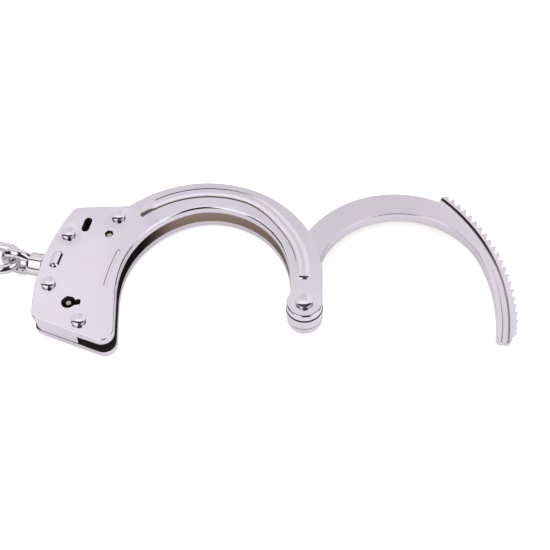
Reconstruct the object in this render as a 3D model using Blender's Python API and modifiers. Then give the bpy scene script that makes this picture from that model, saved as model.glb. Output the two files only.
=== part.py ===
"""Double-locking chain handcuffs: cuff A swung open, cuff B closed, two chain links between them.

Millimetres inside this file, metres in the scene. The origin is on cuff A's pivot axis, in the
plane that the pair lies on. +Z is up, out of the keyhole side, which is the front. Each cuff is
drawn in its own frame, with the pivot axis at (0, 0) and the lock case on the -X side. Angles are
in degrees, and (x, y, radius) describes a circle.
"""

import math

import bmesh
import bpy
from mathutils import Matrix, Vector

for old in list(bpy.data.objects):
    bpy.data.objects.remove(old, do_unlink=True)

MM = 0.001

# ---------------------------------------------------------------- heights and clearances
HEAD_H = 1.3  # height of a domed rivet head
PLATE_T = 2.6  # cheek plate thickness
SLOT_GAP = 4.3  # space between the two cheek plates
REST_GAP = 0.05  # gap between pieces that touch
HOLE_CLEAR = 0.08  # added to the radius of a hole for a fixed pin
MOVING_CLEAR = 0.1  # and of a hole in a piece that swings
CUT_OVER = 1.0  # how far a cutter runs past the face it cuts

Z_REAR0 = HEAD_H
Z_REAR1 = Z_REAR0 + PLATE_T
Z_FRONT0 = Z_REAR1 + SLOT_GAP
Z_FRONT1 = Z_FRONT0 + PLATE_T
Z_TOP = Z_FRONT1 + HEAD_H
Z_MID = (Z_REAR1 + Z_FRONT0) / 2
BLOCK_Z = (Z_REAR1 + REST_GAP, Z_FRONT0 - REST_GAP)

STRAND_T = 4.0  # single strand thickness
PAWL_T = 3.8
LOCK_BAR_T = 3.6
SPRING_T = 3.2

# ---------------------------------------------------------------- cheek plates
EYE_R = 5.5  # round end of the cheek plates, about the pivot
BOW_OUT = (-31.07, 11.74, 37.3)  # outer edge of the fixed bow
BOW_IN_NEAR = (-30.5, 12.2, 26.6)  # inner edge, pivot side
BOW_IN_CASE = (-26.85, 8.8, 30.35)  # inner edge, lock case side
WAIST = [(-3.85, 8.6), (-4.0, 5.6)]  # between the bow's inner edge and the eye
CASE_INNER_X = -57.25  # straight inner edge of the lock case
CASE_TOP_RIGHT = (-53.9, 41.1)
CASE_TOP_LEFT = (-71.6, 41.75)
CASE_LEFT_MID = (-78.9, 26.9)
CASE_BOTTOM_LEFT = (-82.35, 0.15)
CASE_BOTTOM_RIGHT = (CASE_INNER_X, -11.75)
FILLET_TOP_RIGHT, FILLET_TOP_LEFT = 4.0, 2.6
FILLET_BOTTOM_LEFT, FILLET_BOTTOM_RIGHT = 1.7, 4.4

JOIN_DEPTH = 0.8  # how far raised outside features are sunk into the plate
RIDGE_H = 0.75  # pressed rib along each bow
RIDGE_HALF = 1.97
RIDGE_CENTRE = BOW_IN_NEAR[:2]
RIDGE_R_PIVOT = 31.0  # rib centre line near the pivot
RIDGE_R_CASE = 32.65  # and towards the lock case
RIDGE_BLEND_FROM, RIDGE_BLEND = 30, 35  # start and extent of the change between them
RIDGE_FROM, RIDGE_TAPER_FROM, RIDGE_TO = -5.0, 103.0, 128.5
RIDGE_END_WIDTH = 0.9
RIDGE_STEPS = 24

BEAD_R = 60.5  # guide rail inside, which runs in the strand's groove, about the pivot
DIP_R = 61.3  # the pressed mark it leaves outside
BEAD_SPAN = (157.9, 170.3)
BEAD_HALF = 0.55
BEAD_IN = 0.5  # how far it stands into the gap
BEAD_JOIN = 1.0  # how far it is sunk into the plate
BEAD_DIP = 0.35  # depth of the pressed mark

# ---------------------------------------------------------------- rivets
RIVETS = {
    "rivet_top": (-57.1, 36.35),
    "rivet_swivel_upper": (-72.75, 30.35),
    "rivet_swivel_lower": (-77.7, 11.55),
    "rivet_base": (-67.55, -2.8),
}
RIVET_HEAD_R = 2.25
PIVOT_HEAD_R = 2.65
RIVET_SHANK_R = 1.35
PIVOT_SHANK_R = 1.6
RIVET_STEPS = 14

# ---------------------------------------------------------------- single strand
STRAND_EYE_R = 5.65
STRAND_OUT = (29.5, 9.3, 33.0)
STRAND_IN = (30.4, 7.5, 26.4)
TOOTH_TIP_R = 64.1
TOOTH_ROOT_R = 61.7
TOOTH_PITCH = 2.5146  # degrees
TOOTH_LAST = -10.6  # tooth next to the free end
TOOTH_COUNT = 20
TOOTHED_TO = 40.2
# One strand tooth: radius, degrees past the tooth's place.
TOOTH = [(TOOTH_TIP_R, -0.12), (TOOTH_TIP_R - 0.1, 0.06), (TOOTH_ROOT_R, 0.3)]
NOSE_A = -15.9  # direction of the free end
GROOVE_IN_R, GROOVE_OUT_R = 59.5, 61.45
GROOVE_SPAN = (-22, 46)
GROOVE_D = 1.0

# ---------------------------------------------------------------- lock
PAWL_PIVOT = (-60.15, 30.1)
PAWL_HOLE_R = 1.28
PAWL_PIN_R = 0.95
PAWL_EYE_R = 2.45
PAWL_SWING = 9.0  # degrees between lifted and engaged
PAWL_TEETH = 4
PAWL_FIRST = TOOTH_LAST + 180 - 2 * TOOTH_PITCH  # where the pawl's first tooth locks
# One pawl tooth, then the runs at both ends of the teeth: radius, degrees.
PAWL_TOOTH = [(64.6, 0.40), (62.6, 0.58), (62.75, 0.85), (64.5, 2.25)]
PAWL_LEAD = [(64.75, 157.8), (64.6, 161.5)]
PAWL_TAIL = [(65.4, 175.2), (66.6, 175.6), (68.2, 175.0)]
PAWL_BACK_R = 68.5

KEY = (-71.4, 4.7)
KEY_HOLE_R = 2.12
KEY_FLAG_REACH, KEY_FLAG_WIDTH = 3.65, 1.9  # reach is from the hole's centre
KEY_FLAG_DROP = 0.12  # flag's end set towards -Y
KEY_POST_R = 0.85
PIN_STEPS = 12
PIN_CHAMFER_H = 0.25

LOCK_SLOT = (-67.4, 34.3, 75.3, 5.6, 2.4)  # x, y, direction, length, width
LOCK_BAR_SHIFT = -0.2  # bar's x from the slot's centre
# Bar upright along Y, with its origin under the slot: x, y.
LOCK_BAR = [
    (-1.3, -21.5), (1.0, -21.5), (1.3, -19.0), (1.3, -1.6), (0.6, -0.4), (0.6, 1.6), (-1.3, 1.6),
]
# Spring's centre line from its +Y end: x, y.
SPRING_LINE = [
    (-62.9, 36.9), (-64.2, 34.9), (-65.3, 32.2), (-66.3, 28.6), (-67.2, 24.6), (-68.0, 20.6),
]
SPRING_HALF = 0.25

# Spacer block between the plates at the +Y end of the case: x, y.
TOP_BLOCK = [
    (-53.3, 40.4), (-55.2, 40.85), (-70.4, 41.2), (-72.3, 38.9), (-71.2, 38.0),
    (-62.4, 38.2), (-60.6, 34.9), (-57.6, 33.4), (-55.6, 34.1), (-53.4, 37.4),
]
# Spacer block at the -Y end, on both sides of its round lobe: x, y.
BASE_BLOCK_OUT = [(-81.75, 8.1), (-81.95, 2.0), (-81.4, 0.3), (-80.2, -0.6), (-68.6, -5.95)]
BASE_BLOCK_IN = [(-70.4, -1.6), (-78.3, 2.2), (-78.9, 8.0)]
BASE_LOBE_R = 2.5

# ---------------------------------------------------------------- swivel and chain
SWIVEL_A = 164.5  # direction of the swivel axis about the pivot
# Places along the swivel axis are distances from the pivot.
BOSS_AT = 79.1  # pressed capsule over the swivel head
BOSS_LEN, BOSS_WID, BOSS_H = 6.6, 3.0, 0.7
HEAD_ROOM_LEN, HEAD_ROOM_WID, HEAD_ROOM_D = 5.0, 2.5, 0.75  # recess inside the boss
POCKET_HALF_LEN, POCKET_HALF_WID = 1.3, 3.05  # along and across the axis
BORE_SPAN = (78.5, 90)
BORE_CLEAR = 0.12
NECK_R = 1.5
SWIVEL_HEAD_R = 2.7
SWIVEL_HEAD = (BOSS_AT - 0.9, BOSS_AT + 1.0)
BARREL_R = 3.8
BARREL = (83.35, 89.3)
SWIVEL_EYE_AT = 92.6
RING_R = 4.3
RING_WIRE_R = 1.6
LINK_LEN = 15.0  # centre line, end to end
LINK_HALF = 4.35  # centre line, half its width
LINK_WIRE_R = 1.55
LINK_GAP = 0.3

LINK_PITCH = LINK_LEN - 2 * LINK_WIRE_R - LINK_GAP
RING_REACH = RING_R - RING_WIRE_R - LINK_WIRE_R - LINK_GAP  # eye centre to link's centre line
LINK_1_AT = SWIVEL_EYE_AT + RING_REACH + LINK_LEN / 2
LINK_2_AT = LINK_1_AT + LINK_PITCH
PAIR_DISTANCE = 2 * SWIVEL_EYE_AT + 2 * RING_REACH + LINK_LEN + LINK_PITCH
CLOSED_TURN = 180.0 + 8 * TOOTH_PITCH  # cuff B: turn of its strand from fully open

# ---------------------------------------------------------------- collections and materials
parts = bpy.data.collections.new("handcuffs")
cutters = bpy.data.collections.new("handcuffs_cutters")
for group in (parts, cutters):
    bpy.context.scene.collection.children.link(group)
cutters.hide_render = True


def metal(name, colour, roughness):
    material = bpy.data.materials.new(name)
    material.use_nodes = True
    shader = material.node_tree.nodes["Principled BSDF"]
    shader.inputs["Base Color"].default_value = (*colour, 1)
    shader.inputs["Roughness"].default_value = roughness
    shader.inputs["Metallic"].default_value = 1.0
    material.diffuse_color = (*colour, 1)
    return material


FINISH = {
    "plate": metal("nickel_plate", colour=(0.80, 0.77, 0.79), roughness=0.16),
    "strand": metal("nickel_strand", colour=(0.78, 0.76, 0.77), roughness=0.18),
    "rivet": metal("nickel_rivet", colour=(0.84, 0.81, 0.82), roughness=0.10),
    "inner": metal("dull_steel", colour=(0.45, 0.42, 0.40), roughness=0.35),
    "spring": metal("spring_steel", colour=(0.33, 0.34, 0.38), roughness=0.30),
    "chain": metal("nickel_chain", colour=(0.80, 0.78, 0.79), roughness=0.14),
}


# ---------------------------------------------------------------- outline helpers
def polar(radius, degrees, centre=(0.0, 0.0)):
    angle = math.radians(degrees)
    return (centre[0] + radius * math.cos(angle), centre[1] + radius * math.sin(angle))


def polar_run(stations, start=0.0):
    """Points about the pivot from (radius, degrees past start)."""
    return [polar(radius, start + degrees) for radius, degrees in stations]


def sweep(centre, radius, start, turn, count):
    """count + 1 points along an arc."""
    return [polar(radius, start + turn * i / count, centre) for i in range(count + 1)]


def arc(x, y, radius, start, end, step=6.0):
    """An arc in pieces of about step degrees."""
    count = max(1, round(abs(end - start) / step))
    return sweep((x, y), radius, start, end - start, count)


def circle(x, y, radius, count=12):
    return [polar(radius, 360 * i / count, (x, y)) for i in range(count)]


def direction_from(centre, point):
    return math.degrees(math.atan2(point[1] - centre[1], point[0] - centre[0]))


def short_arc(centre, radius, first, last, count):
    """The shorter arc about centre, from the direction of first to that of last."""
    start = direction_from(centre, first)
    turn = (direction_from(centre, last) - start + 180) % 360 - 180
    return sweep(centre, radius, start, turn, count)


def arc_through(first, middle, last, count):
    """Points from first to last on the circle through all three."""
    (x1, y1), (x2, y2), (x3, y3) = first, middle, last
    scale = 2 * (x1 * (y2 - y3) + x2 * (y3 - y1) + x3 * (y1 - y2))
    sq1, sq2, sq3 = x1 * x1 + y1 * y1, x2 * x2 + y2 * y2, x3 * x3 + y3 * y3
    centre = (
        (sq1 * (y2 - y3) + sq2 * (y3 - y1) + sq3 * (y1 - y2)) / scale,
        (sq1 * (x3 - x2) + sq2 * (x1 - x3) + sq3 * (x2 - x1)) / scale,
    )
    radius = math.hypot(x1 - centre[0], y1 - centre[1])
    return short_arc(centre, radius, first, last, count)


def fillet(before, corner, after, radius, count=4):
    """The corner rounded to radius, as count + 1 points."""
    corner = Vector(corner)
    back = (Vector(before) - corner).normalized()
    ahead = (Vector(after) - corner).normalized()
    half = back.angle(ahead) / 2
    reach = radius / math.tan(half)
    centre = corner + (back + ahead).normalized() * (radius / math.sin(half))
    return short_arc(centre, radius, corner + back * reach, corner + ahead * reach, count)


def smooth(points, passes):
    """The open run of points relaxed, with its ends kept."""
    for _ in range(passes):
        relaxed = [
            ((before[0] + 2 * here[0] + after[0]) / 4, (before[1] + 2 * here[1] + after[1]) / 4)
            for before, here, after in zip(points, points[1:], points[2:])
        ]
        points = [points[0], *relaxed, points[-1]]
    return points


def turned_about(points, centre, degrees):
    cos, sin = math.cos(math.radians(degrees)), math.sin(math.radians(degrees))
    return [
        (
            centre[0] + cos * (x - centre[0]) - sin * (y - centre[1]),
            centre[1] + sin * (x - centre[0]) + cos * (y - centre[1]),
        )
        for x, y in points
    ]


def obround(x, y, direction, length, width):
    """A straight slot outline: length is end to end."""
    half = (length - width) / 2
    far = polar(half, direction, (x, y))
    near = polar(-half, direction, (x, y))
    return (
        sweep(far, width / 2, direction - 90, 180, 5)
        + sweep(near, width / 2, direction + 90, 180, 5)
    )


def arc_slot(radius, start, end, half):
    """A slot outline bent round the pivot; half is half its width."""
    outer = arc(0, 0, radius + half, start, end, 2.0)
    inner = arc(0, 0, radius - half, end, start, 2.0)
    end_cap = sweep(polar(radius, end), half, end, 180, 4)[1:-1]
    start_cap = sweep(polar(radius, start), half, start + 180, 180, 4)[1:-1]
    return outer + end_cap + inner + start_cap


def rivet_hole(name):
    return circle(*RIVETS[name], RIVET_SHANK_R + HOLE_CLEAR)


# ---------------------------------------------------------------- outlines
def cheek_outline():
    eye = arc(0, 0, EYE_R, 138, 366, 19)
    out = arc(*BOW_OUT, -3, 124.6)
    left = arc_through(CASE_TOP_LEFT, CASE_LEFT_MID, CASE_BOTTOM_LEFT, 8)
    inner_edge = (CASE_INNER_X, 0)
    case = (
        fillet(out[-1], CASE_TOP_RIGHT, CASE_TOP_LEFT, FILLET_TOP_RIGHT, 3)
        + fillet(CASE_TOP_RIGHT, CASE_TOP_LEFT, left[1], FILLET_TOP_LEFT)
        + left[1:-1]
        + fillet(left[-2], CASE_BOTTOM_LEFT, CASE_BOTTOM_RIGHT, FILLET_BOTTOM_LEFT)
        + fillet(CASE_BOTTOM_LEFT, CASE_BOTTOM_RIGHT, inner_edge, FILLET_BOTTOM_RIGHT, 6)
    )
    inner = smooth(arc(*BOW_IN_CASE, 180, 99, 5) + arc(*BOW_IN_NEAR, 90, 4, 5), 3)
    return eye + out + case + inner + WAIST


def keyhole():
    """A round hole with a flag towards +X."""
    x, y = KEY
    mouth = math.degrees(math.asin(KEY_FLAG_WIDTH / 2 / KEY_HOLE_R))
    ring = arc(x, y, KEY_HOLE_R, mouth - 8, 360 - mouth - 8, 22)
    return ring + [
        (x + KEY_FLAG_REACH, y - KEY_FLAG_WIDTH / 2 - KEY_FLAG_DROP),
        (x + KEY_FLAG_REACH + 0.1, y + KEY_FLAG_WIDTH / 2 - KEY_FLAG_DROP),
    ]


def ridge_outline():
    def centre_r(angle):
        part = min(1, max(0, (angle - RIDGE_BLEND_FROM) / RIDGE_BLEND))
        return RIDGE_R_PIVOT + (RIDGE_R_CASE - RIDGE_R_PIVOT) * part * part * (3 - 2 * part)

    def outer_r(angle):
        part = min(1, max(0, (angle - RIDGE_TAPER_FROM) / (RIDGE_TO - RIDGE_TAPER_FROM)))
        narrowing = (2 * RIDGE_HALF - RIDGE_END_WIDTH) * part * part
        return centre_r(angle) + RIDGE_HALF - narrowing

    angles = [
        RIDGE_FROM + (RIDGE_TO - RIDGE_FROM) * i / RIDGE_STEPS for i in range(RIDGE_STEPS + 1)
    ]
    outer = [polar(outer_r(angle), angle, RIDGE_CENTRE) for angle in angles]
    inner = [
        polar(centre_r(angle) - RIDGE_HALF, angle, RIDGE_CENTRE) for angle in reversed(angles)
    ]
    return outer + inner[1:]


def strand_outline():
    eye = arc(0, 0, STRAND_EYE_R, 127, 396, 19)
    # The inner edge runs on, without a kink, into an arc about the pivot.
    split = direction_from((0, 0), STRAND_IN)
    run_r = math.hypot(*STRAND_IN[:2]) + STRAND_IN[2]
    inner = arc(*STRAND_IN, 184, split, 6)
    inner += arc(0, 0, run_r, split, NOSE_A + 1.6, 6)[1:]
    nose = polar_run([(run_r + 0.9, 0.45), (run_r + 2.1, 0), (61.2, 0), (62.2, 0.9)], NOSE_A)
    teeth = polar_run([(62.3, -13.1), (TOOTH_ROOT_R - 0.6, TOOTH_LAST - TOOTH_PITCH + 0.55)])
    for k in range(TOOTH_COUNT):
        teeth += polar_run(TOOTH, TOOTH_LAST + k * TOOTH_PITCH)
    teeth += polar_run([(63.5, TOOTHED_TO - 1.2), (TOOTH_ROOT_R - 0.1, TOOTHED_TO)])
    out = arc(*STRAND_OUT, 60.2, 186, 6)
    return eye + inner + nose + teeth + out


def pawl_outline():
    """The pawl engaged: teeth towards the strand, eye on its pin."""
    eye_angles = (172, 145, 118, 91, 64, 37, 10, -17, -44, -66)
    eye = [polar(PAWL_EYE_R, angle, PAWL_PIVOT) for angle in eye_angles]
    face = []
    for k in range(PAWL_TEETH):
        face += polar_run(PAWL_TOOTH, PAWL_FIRST + k * TOOTH_PITCH)
    back = arc(0, 0, PAWL_BACK_R, 173.6, 159.5, 3.5)
    return eye + polar_run(PAWL_LEAD) + face + polar_run(PAWL_TAIL) + back


def swivel_block_outline():
    outer = arc(0, 0, 82.15, SWIVEL_A - 8.6, SWIVEL_A + 9.4, 3)
    inner = arc(0, 0, 76.3, SWIVEL_A + 9.2, SWIVEL_A - 3.5, 3)
    inner += arc(0, 0, 77.1, SWIVEL_A - 5.5, SWIVEL_A - 8.8, 3)
    return outer + inner


def base_block_outline():
    lobe = arc(*RIVETS["rivet_base"], BASE_LOBE_R, 250, 450, 25)
    return BASE_BLOCK_OUT + lobe + BASE_BLOCK_IN


def spring_outline():
    """A strip of even width along the smoothed centre line."""
    line = smooth(SPRING_LINE, 1)
    left, right = [], []
    for i, (x, y) in enumerate(line):
        before, after = line[max(0, i - 1)], line[min(len(line) - 1, i + 1)]
        along = (Vector(after) - Vector(before)).normalized()
        left.append((x - SPRING_HALF * along.y, y + SPRING_HALF * along.x))
        right.append((x + SPRING_HALF * along.y, y - SPRING_HALF * along.x))
    return left + right[::-1]


# ---------------------------------------------------------------- solids
def evaluated_mesh(obj, name):
    bpy.context.view_layer.update()
    graph = bpy.context.evaluated_depsgraph_get()
    mesh = bpy.data.meshes.new_from_object(obj.evaluated_get(graph))
    mesh.name = name
    mesh.transform(obj.matrix_world)
    return mesh


def tidy(mesh):
    bm = bmesh.new()
    bm.from_mesh(mesh)
    bmesh.ops.remove_doubles(bm, verts=bm.verts, dist=1e-6)
    bmesh.ops.recalc_face_normals(bm, faces=bm.faces)
    bm.to_mesh(mesh)
    bm.free()
    return mesh


def mark_helper(obj):
    obj.hide_render = True
    obj.display_type = "WIRE"


def add(name, mesh, collection=parts):
    obj = bpy.data.objects.new(name, mesh)
    collection.objects.link(obj)
    if collection is cutters:
        mark_helper(obj)
    return obj


def curve_mesh(name, curve, loops, z=0.0):
    """The mesh of a curve given closed loops, at height z; the curve is used up."""
    for loop in loops:
        spline = curve.splines.new("POLY")
        spline.points.add(len(loop) - 1)
        for point, (x, y) in zip(spline.points, loop):
            point.co = (x * MM, y * MM, 0, 1)
        spline.use_cyclic_u = True
    holder = bpy.data.objects.new(name + "_curve", curve)
    bpy.context.scene.collection.objects.link(holder)
    holder.location.z = z * MM
    mesh = tidy(evaluated_mesh(holder, name))
    bpy.data.objects.remove(holder, do_unlink=True)
    bpy.data.curves.remove(curve)
    return mesh


def slab(name, loops, z_low, z_high, collection=cutters):
    """A flat piece from its outline and the outlines of its through holes."""
    curve = bpy.data.curves.new(name, "CURVE")
    curve.dimensions = "2D"
    curve.fill_mode = "BOTH"
    curve.extrude = (z_high - z_low) / 2 * MM
    return add(name, curve_mesh(name, curve, loops, (z_low + z_high) / 2), collection)


def centred_slab(name, loops, thickness):
    """A visible slab halfway between the plates."""
    return slab(name, loops, Z_MID - thickness / 2, Z_MID + thickness / 2, parts)


def turned(name, profile, steps, collection=parts):
    """A piece turned about Z: profile holds (radius, z) down its outer side."""
    mesh = bpy.data.meshes.new(name)
    points = [(radius * MM, 0, z * MM) for radius, z in profile]
    mesh.from_pydata(points, [(i, i + 1) for i in range(len(points) - 1)], [])
    obj = add(name + "_profile", mesh, collection)
    screw = obj.modifiers.new("turn", "SCREW")
    screw.axis = "Z"
    screw.steps = screw.render_steps = steps
    screw.use_merge_vertices = True
    screw.merge_threshold = 1e-5
    result = tidy(evaluated_mesh(obj, name))
    bpy.data.objects.remove(obj, do_unlink=True)
    return add(name, result, collection)


def boolean(target, tool, operation):
    modifier = target.modifiers.new(tool.name, "BOOLEAN")
    modifier.object = tool
    modifier.operation = operation
    modifier.solver = "EXACT"
    mesh = evaluated_mesh(target, target.data.name)
    target.modifiers.clear()
    target.data = mesh
    target.matrix_world = Matrix.Identity(4)


def shade(obj, finish, degrees=35):
    """Finish and smooth shading, with edges sharper than degrees kept."""
    obj.data.materials.clear()
    obj.data.materials.append(FINISH[finish])
    obj.data.shade_smooth()
    obj.data.set_sharp_from_angle(angle=math.radians(degrees))
    return obj


def place(obj, x, y, z=0.0):
    obj.location = (x * MM, y * MM, z * MM)
    return obj


AXIS = Vector(polar(1, SWIVEL_A)).to_3d()
TIP_OVER = Matrix.Rotation(math.radians(90), 4, "Y")  # +Z to +X


# ---------------------------------------------------------------- pieces of a cuff
def build_cheek(name, front):
    """A cheek plate with its pressed rib, guide bead and boss."""
    z_low, z_high = (Z_FRONT0, Z_FRONT1) if front else (Z_REAR0, Z_REAR1)
    outside, inside, out = (z_high, z_low, 1) if front else (z_low, z_high, -1)
    holes = [circle(0, 0, PIVOT_SHANK_R + HOLE_CLEAR)]
    holes += [rivet_hole(rivet) for rivet in RIVETS]
    if front:
        holes += [keyhole(), obround(*LOCK_SLOT), circle(*PAWL_PIVOT, PAWL_HOLE_R)]
    else:
        holes += [
            circle(*KEY, KEY_POST_R + HOLE_CLEAR),
            circle(*PAWL_PIVOT, PAWL_PIN_R + HOLE_CLEAR),
        ]
    plate = slab(name, [cheek_outline(), *holes], z_low, z_high, parts)

    across = (*polar(BOSS_AT, SWIVEL_A), SWIVEL_A + 90)
    bead = arc_slot(BEAD_R, *BEAD_SPAN, BEAD_HALF)
    dip = arc_slot(DIP_R, *BEAD_SPAN, BEAD_HALF)
    boss = obround(*across, BOSS_LEN, BOSS_WID)
    head_room = obround(*across, HEAD_ROOM_LEN, HEAD_ROOM_WID)
    # Label, outline, reference face, outward distances from it, operation.
    features = (
        ("ridge", ridge_outline(), outside, -JOIN_DEPTH, RIDGE_H, "UNION"),
        ("bead", bead, inside, BEAD_JOIN, -BEAD_IN, "UNION"),
        ("boss", boss, outside, -JOIN_DEPTH, BOSS_H, "UNION"),
        ("dip", dip, outside, -BEAD_DIP, CUT_OVER, "DIFFERENCE"),
        ("head_room", head_room, inside, HEAD_ROOM_D, -CUT_OVER, "DIFFERENCE"),
    )
    for label, outline, face, start, end, operation in features:
        levels = sorted((face + out * start, face + out * end))
        boolean(plate, slab(f"{name}_{label}", [outline], *levels), operation)
    return shade(plate, "plate")


def build_top_block():
    return shade(slab("top_block", [TOP_BLOCK, rivet_hole("rivet_top")], *BLOCK_Z, parts), "plate")


def build_base_block():
    loops = [base_block_outline(), rivet_hole("rivet_base")]
    return shade(slab("base_block", loops, *BLOCK_Z, parts), "plate")


def build_swivel_block():
    """The block that holds the swivel: a pocket for its head and a bore for its neck."""
    holes = [rivet_hole("rivet_swivel_upper"), rivet_hole("rivet_swivel_lower")]
    block = slab("swivel_block", [swivel_block_outline(), *holes], *BLOCK_Z, parts)
    x, y = centre = polar(BOSS_AT, SWIVEL_A)
    corners = [
        (x + along * POCKET_HALF_LEN, y + across * POCKET_HALF_WID)
        for along, across in ((-1, -1), (1, -1), (1, 1), (-1, 1))
    ]
    pocket = turned_about(corners, centre, SWIVEL_A)
    low, high = BLOCK_Z
    pocket_cutter = slab("swivel_block_pocket", [pocket], low - CUT_OVER, high + CUT_OVER)
    boolean(block, pocket_cutter, "DIFFERENCE")

    start, end = BORE_SPAN
    bore_r = NECK_R + BORE_CLEAR
    profile = [(0, end), (bore_r, end), (bore_r, start), (0, start)]
    bore = turned("swivel_block_bore", profile, 14, cutters)
    along_axis = Matrix.Rotation(math.radians(SWIVEL_A), 4, "Z")
    bore.data.transform(Matrix.Translation((0, 0, Z_MID * MM)) @ along_axis @ TIP_OVER)
    boolean(block, bore, "DIFFERENCE")
    return shade(block, "plate")


def rivet_profile(shank, head):
    """Button heads: a flat crown, widest near half height, drawn in again at the plate."""
    # Radius, depth below the crown.
    dome = [
        (0.0, 0.0), (head - 1.05, 0.0), (head - 0.35, 0.2),
        (head, 0.6), (head - 0.1, 0.9), (head - 0.5, HEAD_H - REST_GAP),
    ]
    top = [(radius, Z_TOP - depth) for radius, depth in dome]
    return top + [(shank, Z_FRONT1 + REST_GAP), (shank, Z_REAR0 - REST_GAP)] + dome[::-1]


def build_rivets():
    """The case rivets, which share one mesh, and the pivot rivet."""
    pattern = turned("rivet", rivet_profile(RIVET_SHANK_R, RIVET_HEAD_R), RIVET_STEPS, cutters)
    shade(pattern, "rivet", 50)
    rivets = [place(add(name, pattern.data), x, y) for name, (x, y) in RIVETS.items()]
    pivot = turned("pivot_rivet", rivet_profile(PIVOT_SHANK_R, PIVOT_HEAD_R), RIVET_STEPS)
    return [*rivets, shade(pivot, "rivet", 50)]


def build_strand():
    """The toothed strand, with a groove in each flat side."""
    hole = circle(0, 0, PIVOT_SHANK_R + MOVING_CLEAR)
    strand = centred_slab("single_strand", [strand_outline(), hole], STRAND_T)
    start, end = GROOVE_SPAN
    groove = arc(0, 0, GROOVE_OUT_R, start, end, 4) + arc(0, 0, GROOVE_IN_R, end, start, 4)
    top, bottom = Z_MID + STRAND_T / 2, Z_MID - STRAND_T / 2
    for label, z_low, z_high in (
        ("upper", top - GROOVE_D, top + CUT_OVER),
        ("lower", bottom - CUT_OVER, bottom + GROOVE_D),
    ):
        boolean(strand, slab(f"groove_{label}", [groove], z_low, z_high), "DIFFERENCE")
    return shade(strand, "strand")


def build_pawl():
    """The pawl lifted, with its origin on its own pivot."""
    lifted = turned_about(pawl_outline(), PAWL_PIVOT, -PAWL_SWING)
    hole = circle(*PAWL_PIVOT, PAWL_PIN_R + MOVING_CLEAR)
    pawl = centred_slab("pawl", [lifted, hole], PAWL_T)
    x, y = PAWL_PIVOT
    pawl.data.transform(Matrix.Translation((-x * MM, -y * MM, -Z_MID * MM)))
    return shade(place(pawl, x, y, Z_MID), "inner")


def build_pin(name, at, radius, top_sink, bottom_sink, chamfer):
    """An upright pin, sunk below both outer plate faces and chamfered at the top."""
    top, bottom = Z_FRONT1 - top_sink, Z_REAR0 + bottom_sink
    profile = [
        (0, top), (radius - chamfer, top), (radius, top - PIN_CHAMFER_H),
        (radius, bottom), (0, bottom),
    ]
    return shade(place(turned(name, profile, PIN_STEPS), *at), "inner")


def build_lock_bar():
    x, y, direction, _, _ = LOCK_SLOT
    bar = centred_slab("double_lock_bar", [LOCK_BAR], LOCK_BAR_T)
    bar.data.transform(Matrix.Rotation(math.radians(direction - 90), 4, "Z"))
    return shade(place(bar, x + LOCK_BAR_SHIFT, y), "inner")


def build_spring():
    return shade(centred_slab("pawl_spring", [spring_outline()], SPRING_T), "spring")


def build_swivel():
    """Head, neck and barrel turned on one axis, and the eye; its axis is local X."""
    near, far = BARREL
    head_near, head_far = SWIVEL_HEAD
    profile = [
        (0, far), (BARREL_R - 1.5, far), (BARREL_R - 0.45, far - 0.45), (BARREL_R, far - 1.5),
        (BARREL_R, near + 1.1), (BARREL_R - 0.35, near + 0.35), (BARREL_R - 1.1, near),
        (NECK_R, near), (NECK_R, head_far), (SWIVEL_HEAD_R, head_far),
        (SWIVEL_HEAD_R, head_near), (0, head_near),
    ]
    swivel = turned("swivel", profile, 16)
    bpy.ops.mesh.primitive_torus_add(
        major_segments=20, minor_segments=8,
        major_radius=RING_R * MM, minor_radius=RING_WIRE_R * MM,
        location=(0, 0, SWIVEL_EYE_AT * MM), rotation=(math.radians(90), 0, 0),
    )
    eye = bpy.context.object
    for collection in list(eye.users_collection):
        collection.objects.unlink(eye)
    cutters.objects.link(eye)
    eye.name = "swivel_eye"
    mark_helper(eye)
    boolean(swivel, eye, "UNION")
    swivel.data.transform(TIP_OVER)
    swivel.rotation_euler = (0, 0, math.radians(SWIVEL_A))
    return shade(place(swivel, 0, 0, Z_MID), "chain", 40)


def build_cuff():
    return [
        build_cheek("front_plate", front=True),
        build_cheek("rear_plate", front=False),
        build_top_block(),
        build_base_block(),
        build_swivel_block(),
        *build_rivets(),
        build_strand(),
        build_pawl(),
        build_pin("pawl_pin", PAWL_PIVOT, PAWL_PIN_R, top_sink=0.55, bottom_sink=0.4, chamfer=0.25),
        build_lock_bar(),
        build_pin("key_post", KEY, KEY_POST_R, top_sink=0.35, bottom_sink=0.3, chamfer=0.2),
        build_spring(),
        build_swivel(),
    ]


# ---------------------------------------------------------------- chain
def link_mesh(name):
    """One oval link of round wire in its own XY plane, with its centre at the origin."""
    curve = bpy.data.curves.new(name, "CURVE")
    curve.dimensions = "3D"
    curve.bevel_depth = LINK_WIRE_R * MM
    curve.bevel_resolution = 2
    end_x = LINK_LEN / 2 - LINK_HALF
    path = arc(end_x, 0, LINK_HALF, -90, 90, 22.5) + arc(-end_x, 0, LINK_HALF, 90, 270, 22.5)
    return curve_mesh(name, curve, [path])


def build_chain():
    """Link 1 lies flat and link 2 stands upright."""
    mesh = link_mesh("chain_link_1")
    for name, distance, roll in (
        ("chain_link_1", LINK_1_AT, 0),
        ("chain_link_2", LINK_2_AT, 90),
    ):
        link = add(name, mesh)
        link.location = AXIS * distance * MM + Vector((0, 0, Z_MID * MM))
        link.rotation_euler = (math.radians(roll), 0, math.radians(SWIVEL_A))
    shade(link, "chain", 60)


# ---------------------------------------------------------------- the pair
def frame_empty(name, location, degrees):
    empty = add(name, None)
    empty.location = location
    empty.rotation_euler = (0, 0, math.radians(degrees))
    return empty


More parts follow.
